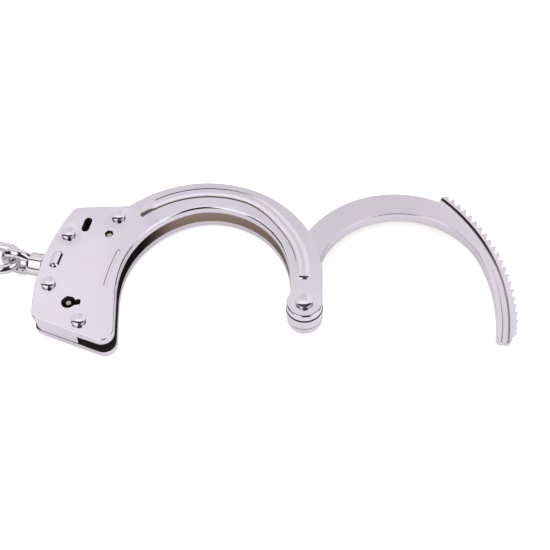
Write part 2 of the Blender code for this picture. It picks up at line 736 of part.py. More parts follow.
def build_pair():
    """Cuff A, and cuff B from the same meshes turned half round at the chain's far end."""
    pieces = build_cuff()
    cuff_a = frame_empty("cuff_a", (0, 0, 0), 0)
    cuff_b = frame_empty("cuff_b", AXIS * PAIR_DISTANCE * MM, 180)
    for piece in pieces:
        name = piece.name
        twin = add(name + "_b", piece.data)
        twin.location = piece.location
        twin.rotation_euler = piece.rotation_euler
        twin.parent = cuff_b
        piece.name = name + "_a"
        piece.parent = cuff_a
        if name == "single_strand":
            twin.rotation_euler = (0, 0, math.radians(-CLOSED_TURN))
        if name == "swivel":  # its eye lies flat, across the upright link
            twin.rotation_euler = (math.radians(90), 0, math.radians(SWIVEL_A))


build_pair()
build_chain()
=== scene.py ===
"""Chain handcuffs in their finished look: a fine mesh for each piece of the frame, nickel and steel
materials, a white studio and the camera.

Cuff A lies flat with its thickness along +Z and the strand's pivot on the Z axis. Its bow arches over
+Y to the lock case at -X, and its strand stands open at +X. The chain runs off along SWIVEL_A to
cuff B, a half turn of cuff A with its strand closed. Lengths are in mm until a mesh is made, angles
in degrees anticlockwise from +X.
"""

import math

import bpy
import numpy as np
from mathutils import Matrix, Vector
from mathutils.geometry import delaunay_2d_cdt


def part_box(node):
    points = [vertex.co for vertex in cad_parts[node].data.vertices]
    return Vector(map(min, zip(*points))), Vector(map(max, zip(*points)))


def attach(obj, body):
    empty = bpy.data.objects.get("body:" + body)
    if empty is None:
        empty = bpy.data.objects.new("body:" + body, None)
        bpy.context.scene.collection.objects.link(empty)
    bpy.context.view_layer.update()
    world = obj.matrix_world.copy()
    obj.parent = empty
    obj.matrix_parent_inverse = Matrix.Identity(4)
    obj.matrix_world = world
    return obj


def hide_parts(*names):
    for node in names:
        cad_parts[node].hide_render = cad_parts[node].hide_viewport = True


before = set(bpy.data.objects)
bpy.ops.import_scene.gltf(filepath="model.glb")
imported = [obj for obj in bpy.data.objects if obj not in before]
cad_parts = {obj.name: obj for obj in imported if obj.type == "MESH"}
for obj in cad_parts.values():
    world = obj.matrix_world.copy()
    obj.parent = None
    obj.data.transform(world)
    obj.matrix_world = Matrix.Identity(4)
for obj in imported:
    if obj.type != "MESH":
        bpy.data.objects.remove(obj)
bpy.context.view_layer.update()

MM = 0.001

# ---------------------------------------------------------------- levels, read from the frame
Z_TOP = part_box("rivet_top_a")[1][2] / MM
HEAD_H = 1.3
Z_FRONT1 = Z_TOP - HEAD_H
Z_REAR0 = HEAD_H
PLATE_T = 2.6
Z_REAR1 = Z_REAR0 + PLATE_T
Z_FRONT0 = Z_FRONT1 - PLATE_T
Z_MID = (Z_REAR1 + Z_FRONT0) / 2
GAP = 0.05
BLOCK_Z = (Z_REAR1 + GAP, Z_FRONT0 - GAP)

# ---------------------------------------------------------------- the dimensions of the parts, mm
# arcs of the bow: centre x, centre y, radius
EYE_R = 5.5
BOW_OUT = (-31.07, 11.74, 37.3)
BOW_IN_NEAR = (-30.5, 12.2, 26.6)
BOW_IN_CASE = (-26.85, 8.8, 30.35)
CASE_TOP_RIGHT = (-53.9, 41.1)
CASE_TOP_LEFT = (-71.6, 41.75)
CASE_LEFT_MID = (-78.9, 26.9)
CASE_BOTTOM_LEFT = (-82.35, 0.15)
CASE_BOTTOM_RIGHT = (-57.25, -11.75)
# the case's foot: from its left corner to its right one, and the direction across it
FOOT_RUN = (25.1, -11.9)
FOOT_ACROSS = (0.428, 0.904)
RIVETS = {
    "rivet_top": (-57.4, 36.85),
    "rivet_swivel_upper": (-73.05, 30.85),
    "rivet_swivel_lower": (-78.0, 12.0),
    "rivet_base": (-67.85, -2.3),
}
RIVET_HEAD_R, PIVOT_HEAD_R = 2.25, 2.65
RIVET_SHANK_R, PIVOT_SHANK_R = 1.35, 1.6
HOLE_CLEAR = 0.08
RIVET_HOLE_R = RIVET_SHANK_R + HOLE_CLEAR
# the ridge pressed along the bow
RIDGE_CROWN, RIDGE_STEP, RIDGE_HALF = 0.325, 0.19, 1.97
RIDGE_CENTRE = (-30.5, 12.2)
RIDGE_R_PIVOT, RIDGE_R_CASE = 31.0, 32.65
RIDGE_A0, RIDGE_TAPER, RIDGE_A1 = -7.3, 103.0, 129.4
# the arc mark: a dip outside, a bead inside
DIP_R, BEAD_R = 61.3, 60.5
BEAD_A = (157.9, 170.3)
BEAD_HALF = 0.55
SWIVEL_A = 164.5
BOSS_AT = 79.1
BOSS_LEN, BOSS_WID = 6.6, 3.0
LOCK_SLOT = (-67.4, 34.3, 75.3, 5.6, 2.4)  # x, y, direction, length, width
PAWL_PIVOT = (-60.15, 30.1)
PAWL_HOLE_R, PAWL_PIN_R = 1.28, 0.95
KEY = (-71.4, 4.7)
KEY_HOLE_R, KEY_FLAG, KEY_POST_R = 2.12, (3.65, 1.9), 0.85  # the flag: reach, width
STRAND_T = 4.0
STRAND_EYE_R = 5.65
STRAND_OUT = (29.5, 9.3, 33.0)
STRAND_IN = (30.4, 7.5, 26.4)
TOOTH_TIP_R, TOOTH_ROOT_R, TOOTH_PITCH = 64.2, 62.05, 2.5146
TOOTH_LAST, TOOTH_COUNT, TOOTHED_TO = -10.35, 20, 40.2
GROOVE_R = (59.05, 61.6)
GROOVE_D = 1.0
NOSE_A = -15.9
PAWL_SWING, PAWL_TEETH = 9.0, 4
PAWL_FIRST = -10.6 + 180 - 2 * TOOTH_PITCH
CLOSED_TURN = 180.0 + 8 * TOOTH_PITCH
# distances of the swivel and chain are taken from the pivot, along SWIVEL_A
NECK_R, SWIVEL_HEAD_R, BARREL_R = 1.5, 2.7, 3.8
BARREL = (83.35, 89.3)
EYE_AT, RING_R, WIRE_R = 92.6, 4.3, 1.6
LINK_LEN, LINK_HALF, LINK_WIRE, LINK_GAP = 15.0, 4.35, 1.55, 0.3


# ---------------------------------------------------------------- outline tools
def polar(radius, degrees, centre=(0.0, 0.0)):
    angle = math.radians(degrees)
    return (centre[0] + radius * math.cos(angle), centre[1] + radius * math.sin(angle))


def arc(x, y, radius, start, end, step=1.2):
    count = max(1, round(abs(end - start) / step))
    return [polar(radius, start + (end - start) * i / count, (x, y)) for i in range(count + 1)]


def circle(x, y, radius, count=48):
    return [polar(radius, 360 * i / count, (x, y)) for i in range(count)]


def arc_through(start, middle, end, count):
    (x0, y0), (x1, y1), (x2, y2) = start, middle, end
    scale = 2 * (x0 * (y1 - y2) + x1 * (y2 - y0) + x2 * (y0 - y1))
    square0, square1, square2 = x0 * x0 + y0 * y0, x1 * x1 + y1 * y1, x2 * x2 + y2 * y2
    x = (square0 * (y1 - y2) + square1 * (y2 - y0) + square2 * (y0 - y1)) / scale
    y = (square0 * (x2 - x1) + square1 * (x0 - x2) + square2 * (x1 - x0)) / scale
    first = math.degrees(math.atan2(y0 - y, x0 - x))
    last = math.degrees(math.atan2(y2 - y, x2 - x))
    turn = (last - first + 180) % 360 - 180
    radius = math.hypot(x0 - x, y0 - y)
    return [polar(radius, first + turn * i / count, (x, y)) for i in range(count + 1)]


def fillet(before, corner, after, radius, count=8):
    back, ahead = Vector(before) - Vector(corner), Vector(after) - Vector(corner)
    shorter = min(back.length, ahead.length)
    back.normalize()
    ahead.normalize()
    half = back.angle(ahead) / 2
    if half > math.radians(88):
        return [tuple(corner)]
    radius = min(radius, 0.48 * shorter * math.tan(half))
    reach = radius / math.tan(half)
    start, end = Vector(corner) + back * reach, Vector(corner) + ahead * reach
    centre = Vector(corner) + (back + ahead).normalized() * (radius / math.sin(half))
    first = math.atan2(start.y - centre.y, start.x - centre.x)
    last = math.atan2(end.y - centre.y, end.x - centre.x)
    turn = (last - first + math.pi) % (2 * math.pi) - math.pi
    angles = [first + turn * i / count for i in range(count + 1)]
    return [(centre.x + radius * math.cos(a), centre.y + radius * math.sin(a)) for a in angles]


def rounded(points, radii, count=4, closed=True):
    """Each corner of a polygon rounded by one radius, or by one radius for each corner."""
    out = []
    if not isinstance(radii, list):
        radii = [radii] * len(points)
    for i, (point, radius) in enumerate(zip(points, radii)):
        if not closed and i in (0, len(points) - 1):
            out.append(point)
            continue
        out += fillet(points[i - 1], point, points[(i + 1) % len(points)], radius, count)
    return out


def smooth(points, passes):
    """An open line averaged with its neighbours; its ends stay."""
    line = np.array(points)
    for _ in range(passes):
        line[1:-1] = (line[:-2] + 2 * line[1:-1] + line[2:]) / 4
    return [tuple(point) for point in line]


def resample(points, step, closed=True):
    """Points at even spacing along the polyline."""
    line = np.array(points + ([points[0]] if closed else []), float)
    lengths = np.hypot(*np.diff(line, axis=0).T)
    line = line[np.concatenate([[True], lengths > 1e-6])]
    along = np.concatenate([[0], np.cumsum(np.hypot(*np.diff(line, axis=0).T))])
    count = max(8, round(along[-1] / step))
    even = np.linspace(0, along[-1], count + 1)
    out = np.stack([np.interp(even, along, line[:, 0]), np.interp(even, along, line[:, 1])], 1)
    return [tuple(point) for point in (out[:-1] if closed else out)]


def soft_loop(points, step, passes):
    """A closed loop resampled, then averaged with its neighbours."""
    loop = np.array(resample(points, step))
    for _ in range(passes):
        loop = (np.roll(loop, 1, 0) + 2 * loop + np.roll(loop, -1, 0)) / 4
    return [tuple(point) for point in loop]


def obround(x, y, direction, length, width, count=16):
    half = (length - width) / 2
    ends = []
    for sign in (1, -1):
        start = direction - sign * 90
        centre = polar(sign * half, direction, (x, y))
        ends += [polar(width / 2, start + 180 * i / count, centre) for i in range(count + 1)]
    return ends


def turned_by(points, centre, degrees):
    cos, sin = math.cos(math.radians(degrees)), math.sin(math.radians(degrees))
    across, up = centre
    return [
        (across + cos * (x - across) - sin * (y - up), up + sin * (x - across) + cos * (y - up))
        for x, y in points
    ]


# ---------------------------------------------------------------- outlines of the parts
def cheek_outline():
    """The side plate: eye, bow and lock case in one loop."""
    eye = arc(0, 0, EYE_R, 138, 366, 4)
    bow = arc(*BOW_OUT, -3, 124.6)
    left = arc_through(CASE_TOP_LEFT, CASE_LEFT_MID, CASE_BOTTOM_LEFT, 60)
    top_right = fillet(bow[-1], CASE_TOP_RIGHT, CASE_TOP_LEFT, 4.0, 12)
    top_left = fillet(CASE_TOP_RIGHT, CASE_TOP_LEFT, left[4], 2.6, 12)
    bottom_left = fillet(left[-5], CASE_BOTTOM_LEFT, CASE_BOTTOM_RIGHT, 1.7, 12)
    above = (CASE_BOTTOM_RIGHT[0], 0)
    bottom_right = fillet(CASE_BOTTOM_LEFT, CASE_BOTTOM_RIGHT, above, 4.4, 16)
    inner = arc(*BOW_IN_CASE, 180, 99) + arc(*BOW_IN_NEAR, 90, 4)
    inner = smooth(resample(inner, 0.6, closed=False), 60)
    waist = [inner[-1], (-3.9, 10.5), (-3.86, 8.6), (-3.98, 5.6), eye[0]]
    waist = smooth(resample(waist, 0.6, closed=False), 12)
    case = top_right + top_left + left[4:-4] + bottom_left + bottom_right
    return soft_loop(eye + bow + case + inner + waist[1:-1], 0.45, 3)


def keyhole():
    reach, width = KEY_FLAG
    half = math.degrees(math.asin(width / 2 / KEY_HOLE_R))
    ring = arc(*KEY, KEY_HOLE_R, half - 8, 360 - half - 8, 8)
    low = (KEY[0] + reach, KEY[1] - width / 2 - 0.12)
    high = (KEY[0] + reach + 0.1, KEY[1] + width / 2 - 0.12)
    flag = rounded([ring[-1], low, high, ring[0]], 0.28, 5, closed=False)
    return soft_loop(ring[:-1] + flag[:-1], 0.22, 1)


def saw_teeth():
    """The strand's outer edge from its free end up, with a radius for each corner: a steep face
    towards the pivot, a long back."""
    corners = [polar(62.3, -13.1), polar(TOOTH_ROOT_R - 0.6, TOOTH_LAST - TOOTH_PITCH + 0.55)]
    radii = [0.2, 0.2]
    for k in range(TOOTH_COUNT):
        at = TOOTH_LAST + k * TOOTH_PITCH
        corners += [polar(TOOTH_TIP_R + 0.06, at - 0.03), polar(TOOTH_ROOT_R, at + 0.3)]
        radii += [0.34, 0.24]
    corners += [polar(63.5, TOOTHED_TO - 1.2), polar(TOOTH_ROOT_R - 0.1, TOOTHED_TO)]
    return corners, radii + [0.25, 0.3]


def strand_outline():
    eye = arc(0, 0, STRAND_EYE_R, 127, 396, 5)
    # the inner edge: an arc of its own, then one about the pivot
    split = math.degrees(math.atan2(STRAND_IN[1], STRAND_IN[0]))
    inner = arc(*STRAND_IN, 184, split, 1.2)
    run_r = math.hypot(*STRAND_IN[:2]) + STRAND_IN[2]
    inner += arc(0, 0, run_r, split, NOSE_A + 1.6, 0.8)[1:]
    nose = [
        polar(run_r + 0.9, NOSE_A + 0.3), polar(run_r + 2.1, NOSE_A),
        polar(61.2, NOSE_A), polar(62.2, NOSE_A + 0.9),
    ]
    teeth, radii = saw_teeth()
    edge = rounded(
        [inner[-1], *nose, *teeth, polar(TOOTH_ROOT_R - 0.1, TOOTHED_TO + 1)],
        [0, 0.7, 0.9, 1.0, 0.7, *radii, 0], 4, closed=False,
    )
    loop = [*eye, *inner[:-1], *edge[:-1], *arc(*STRAND_OUT, 61.5, 186, 1.2)]
    cleaned = [loop[0]]
    for point in loop[1:]:
        if math.dist(point, cleaned[-1]) > 0.02:
            cleaned.append(point)
    dense = []
    for (x0, y0), (x1, y1) in zip(cleaned, cleaned[1:] + cleaned[:1]):
        count = max(1, math.ceil(math.dist((x0, y0), (x1, y1)) / 0.7))
        dense += [(x0 + (x1 - x0) * i / count, y0 + (y1 - y0) * i / count) for i in range(count)]
    return dense


def pawl_outline():
    # corners of one tooth: radius about the strand's pivot, angle past the tooth's start
    tooth = ((64.6, 0.40), (62.6, 0.58), (62.75, 0.85), (64.5, 2.25))
    face = [
        polar(radius, PAWL_FIRST + k * TOOTH_PITCH + past)
        for k in range(PAWL_TEETH) for radius, past in tooth
    ]
    tail = [polar(65.4, 175.2), polar(66.6, 175.6), polar(68.2, 175.0)]
    back = arc(0, 0, 68.5, 173.6, 159.5, 1.2)
    eye = [polar(2.45, a, PAWL_PIVOT) for a in range(172, -67, -9)]
    lead = [polar(64.75, 157.8), polar(64.6, 161.5)]
    return rounded(eye + lead + face + tail + back, 0.14, 3)


# x, y of the corners, the bar standing along its own Y
LOCK_BAR = [
    (-1.3, -21.5), (1.0, -21.5), (1.3, -19.0), (1.3, -1.6), (0.6, -0.4), (0.6, 1.6), (-1.3, 1.6),
]
# x, y of the corners in the cuff's frame
TOP_BLOCK = [
    (-53.3, 40.4), (-55.2, 40.85), (-70.4, 41.2), (-72.3, 38.9), (-71.2, 38.0), (-62.4, 38.2),
    (-60.6, 34.9), (-57.6, 33.4), (-55.6, 34.1), (-53.4, 37.4),
]
BASE_BLOCK = [
    (-81.85, 8.1), (-82.0, 2.0), (-81.5, 0.2), (-80.27, -0.74), (-68.72, -6.2),
    *arc(-67.55, -2.8, 2.5, 250, 450, 8),
    (-70.4, -1.6), (-78.3, 2.2), (-78.9, 8.0),
]
SWIVEL_BLOCK = [
    *arc(0, 0, 82.15, SWIVEL_A - 8.6, SWIVEL_A + 9.4, 0.5),
    *arc(0, 0, 76.3, SWIVEL_A + 9.2, SWIVEL_A - 3.5, 0.5),
    *arc(0, 0, 77.1, SWIVEL_A - 5.5, SWIVEL_A - 8.8, 0.5),
]
# x, y of the spring's middle line, from the top down
SPRING_LINE = [
    (-62.9, 36.9), (-64.2, 34.9), (-65.3, 32.2), (-66.3, 28.6), (-67.2, 24.6), (-68.0, 20.6),
]


# ---------------------------------------------------------------- pressed shapes, as heights over a flat face
def ease(t):
    t = np.clip(t, 0, 1)
    return t * t * (3 - 2 * t)


def distance(x, y, centre=(0.0, 0.0)):
    return np.hypot(x - centre[0], y - centre[1])


def polar_of(x, y):
    return np.hypot(x, y), np.degrees(np.arctan2(y, x))


def rise_of(slope, end, count=400):
    """Height over distance, added up from a slope."""
    along = np.linspace(0, end, count)
    slopes = slope(along)
    steps = (slopes[1:] + slopes[:-1]) / 2 * np.diff(along)
    return along, np.concatenate([[0], np.cumsum(steps)])


BOSS_SIDE = rise_of(
    lambda d: 1.45 * np.clip(1 - d / 0.72, 0, 1) ** 1.2 + 0.29 * ease((1.42 - d) / 0.15),
    BOSS_WID / 2,
)
RIDGE_END = rise_of(lambda d: 0.86 - 0.55 * ease((d - 0.24) / 0.14) - 0.31 * ease((d - 0.95) / 0.3), 1.5)


def ridge_edges(degrees):
    """Radii about RIDGE_CENTRE of the ridge's inner edge, middle line and outer edge."""
    middle = RIDGE_R_PIVOT + (RIDGE_R_CASE - RIDGE_R_PIVOT) * ease((degrees - 30) / 35)
    taper = np.clip((degrees - RIDGE_TAPER) / (RIDGE_A1 - RIDGE_TAPER), 0, 1.2)
    return middle - RIDGE_HALF, middle, middle + RIDGE_HALF - 0.7 * taper * taper


def ridge_place(x, y):
    """(angle, distance from the middle line, distance in from the inner edge, in from the outer
    edge, distance along from the pivot end, distance left to the case end)."""
    radius, angle = polar_of(x - RIDGE_CENTRE[0], y - RIDGE_CENTRE[1])
    angle = (angle + 90) % 360 - 90
    inner, middle, outer = ridge_edges(angle)
    along = np.radians(angle - RIDGE_A0) * radius
    left = np.radians(RIDGE_A1 - angle) * radius
    return angle, radius - middle, radius - inner, outer - radius, along, left


def ridge_height(x, y):
    """A low crown with a small step along its inner edge; a domed end at the pivot, a long run-out
    at the lock case."""
    angle, off, from_in, from_out, along, left = ridge_place(x, y)
    across = np.clip(np.abs(off) / RIDGE_HALF, 0, 0.999)
    from_end = along - 0.5 * (1 - np.sqrt(1 - across * across))
    end = np.interp(from_end, *RIDGE_END) / RIDGE_END[1][-1]
    width = np.maximum(from_in + from_out, 0.2)
    crown = np.clip(4 * from_in * from_out / width**2, 0, 1)
    step = ease(from_in / 0.16) * ease(from_out / 1.3)
    tail = ease((angle - 115.0) / 10.0)
    run = np.clip(from_in, 0, 0.5 + 0.95 * ease((angle - 117) / 9))
    run = 0.36 * run * ease(from_out / 2.4) * ease(left / 1.8)
    height = (RIDGE_CROWN * crown + RIDGE_STEP * step) * (1 - tail) * ease(left / 1.1) + tail * run
    on_ridge = (angle > RIDGE_A0 - 8) & (angle < RIDGE_A1 + 1) & (from_in > 0) & (from_out > 0)
    return np.where(on_ridge, height * end, 0.0)


def boss_height(x, y):
    """A capsule-shaped boss over the swivel's head, lying across its axis."""
    centre = polar(BOSS_AT, SWIVEL_A)
    direction = math.radians(SWIVEL_A + 90)
    cos, sin = math.cos(direction), math.sin(direction)
    half = (BOSS_LEN - BOSS_WID) / 2
    along = np.clip((x - centre[0]) * cos + (y - centre[1]) * sin, -half, half)
    off = np.hypot(x - centre[0] - along * cos, y - centre[1] - along * sin)
    return np.interp(BOSS_WID / 2 - off, *BOSS_SIDE)


def mark_distance(x, y, radius):
    """Distance from the arc mark's middle line, at this radius."""
    angle = np.radians(np.clip(polar_of(x, y)[1] % 360, *BEAD_A))
    return np.hypot(x - radius * np.cos(angle), y - radius * np.sin(angle))


def lip(depth, limit):
    """A fall that starts softly at depth 0 and stops at the limit."""
    return 0.30 * np.clip(depth, 0, limit) * ease(depth / 0.12)


def outside_of_cheek(x, y):
    # the metal is slightly dished round the rivets
    pull = np.zeros_like(x)
    for centre in (*RIVETS.values(), (0.0, 0.0)):
        pull -= 0.035 * np.exp(-((distance(x, y, centre) - 2.4) / 0.9) ** 2)
    # the band inside the ridge leans in a little, most at the bow's inner edge
    angle, _, from_in, *_ = ridge_place(x, y)
    lean = 0.034 * np.clip(-from_in, 0, 6.0) * ease((angle - 45) / 25)
    lean = lean * (1 - ease((angle - 118) / 12))
    near = distance(x, y, BOW_IN_NEAR) - BOW_IN_NEAR[2]
    far = distance(x, y, BOW_IN_CASE) - BOW_IN_CASE[2]
    blend = ease((x + 36) / 8)
    lean = lean + 0.09 * np.clip(1 - (near * blend + far * (1 - blend)) / 0.7, 0, 1.0) ** 2
    # and so do the rim of the eye and the foot of the case
    eye = distance(x, y) - EYE_R + 0.62
    lean = lean + lip(eye, 0.62) * ease((1.5 - y) / 2.0) * (x > -7)
    foot = -FOOT_ACROSS[0] * (x - CASE_BOTTOM_LEFT[0]) - FOOT_ACROSS[1] * (y - CASE_BOTTOM_LEFT[1]) + 0.5
    lean = lean + lip(foot, 0.6) * (x < -50)
    dip = -0.32 * ease((BEAD_HALF + 0.04 - mark_distance(x, y, DIP_R)) / 0.2)
    return ridge_height(x, y) + boss_height(x, y) + dip + pull - lean


def inside_of_cheek(x, y):
    return 0.5 * ease((BEAD_HALF + 0.05 - mark_distance(x, y, BEAD_R)) / 0.3)


def groove_height(x, y):
    """The strand's groove: its floor rises outwards and its inner wall is the steeper."""
    radius, angle = polar_of(x, y)
    run = ease((46.5 - angle) / 2.0) * ease((angle + 26) / 2.0)
    walls = ease((radius - GROOVE_R[0]) / 0.50) * ease((GROOVE_R[1] + 0.02 - radius) / 0.80)
    return -(GROOVE_D - 0.07 * np.clip(radius - GROOVE_R[0], 0, 3)) * walls * run


def flat(x, y):
    return np.zeros_like(x)


# ---------------------------------------------------------------- mesh tools
def inside(points, loops):
    """Whether each point lies within the outline and outside its holes."""
    x, y = points[:, 0][:, None], points[:, 1][:, None]
    hit = np.zeros(len(points), bool)
    for loop in loops:
        x0, y0 = np.asarray(loop).T
        x1, y1 = np.roll(x0, -1), np.roll(y0, -1)
        with np.errstate(divide="ignore", invalid="ignore"):
            crossed = ((y0 > y) != (y1 > y)) & (x < (x1 - x0) * (y - y0) / (y1 - y0) + x0)
        hit ^= (crossed.sum(axis=1) % 2).astype(bool)
    return hit


def nearest(points, others):
    """Distance from each point to the nearest of the others, worked out in batches."""
    best = np.full(len(points), 1e9)
    for i in range(0, len(points), 2000):
        part = points[i : i + 2000]
        squares = ((part[:, None] - others[None]) ** 2).sum(-1)
        best[i : i + 2000] = np.sqrt(squares).min(axis=1)
    return best


def thin(points, least):
    """Points nearer than this to one already kept are dropped."""
    cells, kept = {}, []
    for x, y in points:
        column, row = int(math.floor(x / least)), int(math.floor(y / least))
        near = any(
            (x - other[0]) ** 2 + (y - other[1]) ** 2 < least * least
            for i in (-1, 0, 1) for j in (-1, 0, 1)
            for other in cells.get((column + i, row + j), ())
        )
        if not near:
            cells.setdefault((column, row), []).append((x, y))
            kept.append((x, y))
    return kept


def signed_area(loop):
    start = np.asarray(loop)
    end = np.roll(start, -1, 0)
    return float((start[:, 0] * end[:, 1] - end[:, 0] * start[:, 1]).sum() / 2)


def make_mesh(name, verts, faces, normals=None, attributes=None):
    """A smooth mesh from mm, with its own normals and point attributes where given."""
    mesh = bpy.data.meshes.new(name)
    mesh.from_pydata([tuple(vert) for vert in np.asarray(verts) * MM], [], faces)
    mesh.validate(clean_customdata=False)
    mesh.polygons.foreach_set("use_smooth", [True] * len(mesh.polygons))
    for key, values in (attributes or {}).items():
        layer = mesh.attributes.new(key, "FLOAT", "POINT")
        layer.data.foreach_set("value", np.asarray(values, np.float32))
    if normals is not None:
        unit = np.asarray(normals, float)
        unit /= np.maximum(np.linalg.norm(unit, axis=1), 1e-9)[:, None]
        mesh.normals_split_custom_set_from_vertices([tuple(normal) for normal in unit])
    mesh.update()
    return mesh


class Surface:
    """Vertices with their normals, "rim" values and "dull" values (brown and dull metal, and painted shade),
    and the faces between them.
    """

    def __init__(self):
        self.verts, self.normals, self.rim, self.dull, self.faces = [], [], [], [], []

    def add(self, points, z, normals, rim, dull):
        start = len(self.verts)
        self.verts.extend(np.column_stack([points, z]))
        self.normals.extend(normals)
        self.rim.extend(np.broadcast_to(rim, len(points)))
        self.dull.extend(np.broadcast_to(dull, len(points)))
        return np.arange(start, len(self.verts))

    def join(self, lower, upper):
        """Quads between two rings of vertices."""
        quads = np.column_stack([lower, np.roll(lower, -1), np.roll(upper, -1), upper])
        self.faces.extend(quads.tolist())


def outward_sides(loops):
    """Each loop's points, the outline anticlockwise and the holes clockwise, with the normals
    that point out of the metal."""
    sides = []
    for i, loop in enumerate(loops):
        if (signed_area(loop) > 0) != (i == 0):
            loop = loop[::-1]
        points = np.array(loop)
        along = np.roll(points, -1, 0) - np.roll(points, 1, 0)
        along /= np.maximum(np.linalg.norm(along, axis=1), 1e-9)[:, None]
        sides.append((points, np.stack([along[:, 1], -along[:, 0]], 1)))
    return sides


def gradient(shape, x, y):
    step = 0.01
    across = (shape(x + step, y) - shape(x - step, y)) / (2 * step)
    return across, (shape(x, y + step) - shape(x, y - step)) / (2 * step)


def fill_points(border, sides, seeds, grid, halo):
    """Points within a face: a row beside its border, the seeds, and a triangular grid elsewhere."""
    edge = np.concatenate(border)
    beside = np.zeros((0, 2))
    if halo:
        rows = [(ring - normals * halo)[::2] for (_, normals), ring in zip(sides, border)]
        beside = np.concatenate(rows)
        beside = beside[inside(beside, border)]
        beside = beside[nearest(beside, edge) > 0.7 * halo]
    seeded = np.concatenate([beside, *seeds])
    seeded = seeded[inside(seeded, border) & (nearest(seeded, edge) > 0.12)]
    low, high = edge.min(axis=0), edge.max(axis=0)
    columns = np.arange(low[0], high[0], grid)
    rows = np.arange(low[1], high[1], grid * 0.866)
    cells = [(x + (grid / 2 if j % 2 else 0), y) for j, y in enumerate(rows) for x in columns]
    cells = np.array(cells)
    cells = cells[inside(cells, border)]
    cells = cells[nearest(cells, edge) > 0.55 * grid]
    if len(seeded):
        cells = cells[nearest(cells, seeded) > 0.5 * grid]
    return np.concatenate([seeded, cells])


def relief(
    name, loops, z0, z1, top, bottom, grid=1.8, halo=0.45, rings=5,
    brown_and_shade=lambda *_: 0.0, painted_shade_lines=lambda *_: 0.0, pivot_shade_faces=(),
):
    """A flat piece with rounded rims, whose two faces carry pressed shapes; normals come from the
    shapes. top and bottom are (height function, rim radius or function of it, seed lists).
    brown_and_shade(up, loop index, rim step, points) and painted_shade_lines(up, points) give "dull" values,
    brown up to 1 and near black painted shade towards 2; the faces named in pivot_shade_faces (1 top, -1
    bottom) get painted shade round the pivot."""
    sides = outward_sides(loops)
    surface = Surface()
    first_rings = {}
    for up, level, (shape, radius, seeds) in ((1, z1, top), (-1, z0, bottom)):
        caps = []
        for i, (points, outward) in enumerate(sides):
            radii = radius(points) if callable(radius) else np.full(len(points), float(radius))
            chain = []
            for k in range(rings + 1):
                phi = math.pi / 2 * k / rings
                cos, sin = math.cos(phi), math.sin(phi)
                place = points - outward * (radii * (1 - cos))[:, None]
                slopes = np.column_stack(gradient(shape, *place.T))
                z = level + up * (shape(*place.T) - radii + radii * sin)
                tilt = outward * cos - slopes * sin
                normals = np.column_stack([tilt, np.full(len(points), up * sin)])
                # painted shade: near black on the faces towards the gap, round the pivot
                hinge_shade = 1.9 * (distance(*place.T) < 6.5) * (k >= 2 and i == 0 and up in pivot_shade_faces)
                rim = min(1.0, 1.6 * math.sin(2 * phi)) if k < rings else 0.25
                dull = np.maximum(brown_and_shade(up, i, k, place), hinge_shade)
                chain.append(surface.add(place, z, normals, rim, dull))
            for ring, following in zip(chain, chain[1:]):
                surface.join(*((ring, following) if up > 0 else (following, ring)))
            first_rings[(up, i)] = chain[0]
            caps.append(chain[-1])

        border = [np.array([surface.verts[j][:2] for j in cap]) for cap in caps]
        border_ids = np.concatenate(caps)
        edges = []
        start = 0
        for ring in border:
            count = len(ring)
            edges += [(start + j, start + (j + 1) % count) for j in range(count)]
            start += count
        fill = fill_points(border, sides, seeds, grid, halo)
        flat_points = [Vector(tuple(point)) for point in np.concatenate([*border, fill])]
        placed, _, triangles, origins, _, _ = delaunay_2d_cdt(flat_points, edges, [], 0, 1e-6, True)
        index = np.full(len(placed), -1)
        fresh = []
        for j, origin in enumerate(origins):
            known = [o for o in origin if o < len(border_ids)]
            if known:
                index[j] = border_ids[known[0]]
            else:
                fresh.append(j)
        if fresh:
            place = np.array([tuple(placed[j]) for j in fresh])
            slope_x, slope_y = gradient(shape, *place.T)
            normals = np.column_stack([-slope_x, -slope_y, np.full(len(place), float(up))])
            dull = np.maximum(brown_and_shade(up, 0, rings, place), painted_shade_lines(up, place))
            z = level + up * shape(*place.T)
            index[fresh] = surface.add(place, z, normals, 0.0, dull)
        triangles = np.array([face for face in triangles if len(face) == 3])
        middles = np.array([tuple(vert) for vert in placed])[triangles].mean(axis=1)
        triangles = index[triangles[inside(middles, border)]]
        surface.faces.extend((triangles if up > 0 else triangles[:, ::-1]).tolist())

    for i in range(len(sides)):
        surface.join(first_rings[(-1, i)], first_rings[(1, i)])
    attributes = {"rim": surface.rim, "dull": surface.dull}
    return make_mesh(name, surface.verts, surface.faces, surface.normals, attributes)


def plain_slab(name, outline, holes, z0, z1, radius=0.16, grid=1.4):
    face = (flat, radius, ())
    return relief(name, [outline, *holes], z0, z1, face, face, grid=grid, halo=None, rings=4)


def lathe(name, profile, steps=72, soft=38):
    """A turned piece about Z: profile holds (radius, z) from the top of the axis to its foot."""
    verts, faces, rows = [], [], []
    for radius, z in profile:
        if radius < 1e-6:
            rows.append([len(verts)])
            verts.append((0, 0, z))
            continue
        rows.append(list(range(len(verts), len(verts) + steps)))
        angles = [2 * math.pi * i / steps for i in range(steps)]
        verts += [(radius * math.cos(a), radius * math.sin(a), z) for a in angles]
    for upper, lower in zip(rows, rows[1:]):
        for i in range(steps):
            j = (i + 1) % steps
            if len(upper) == 1:
                faces.append([upper[0], lower[i], lower[j]])
            elif len(lower) == 1:
                faces.append([upper[i], lower[0], upper[j]])
            else:
                faces.append([upper[i], lower[i], lower[j], upper[j]])
    mesh = make_mesh(name, np.array(verts, float), faces)
    mesh.set_sharp_from_angle(angle=math.radians(soft))
    return mesh


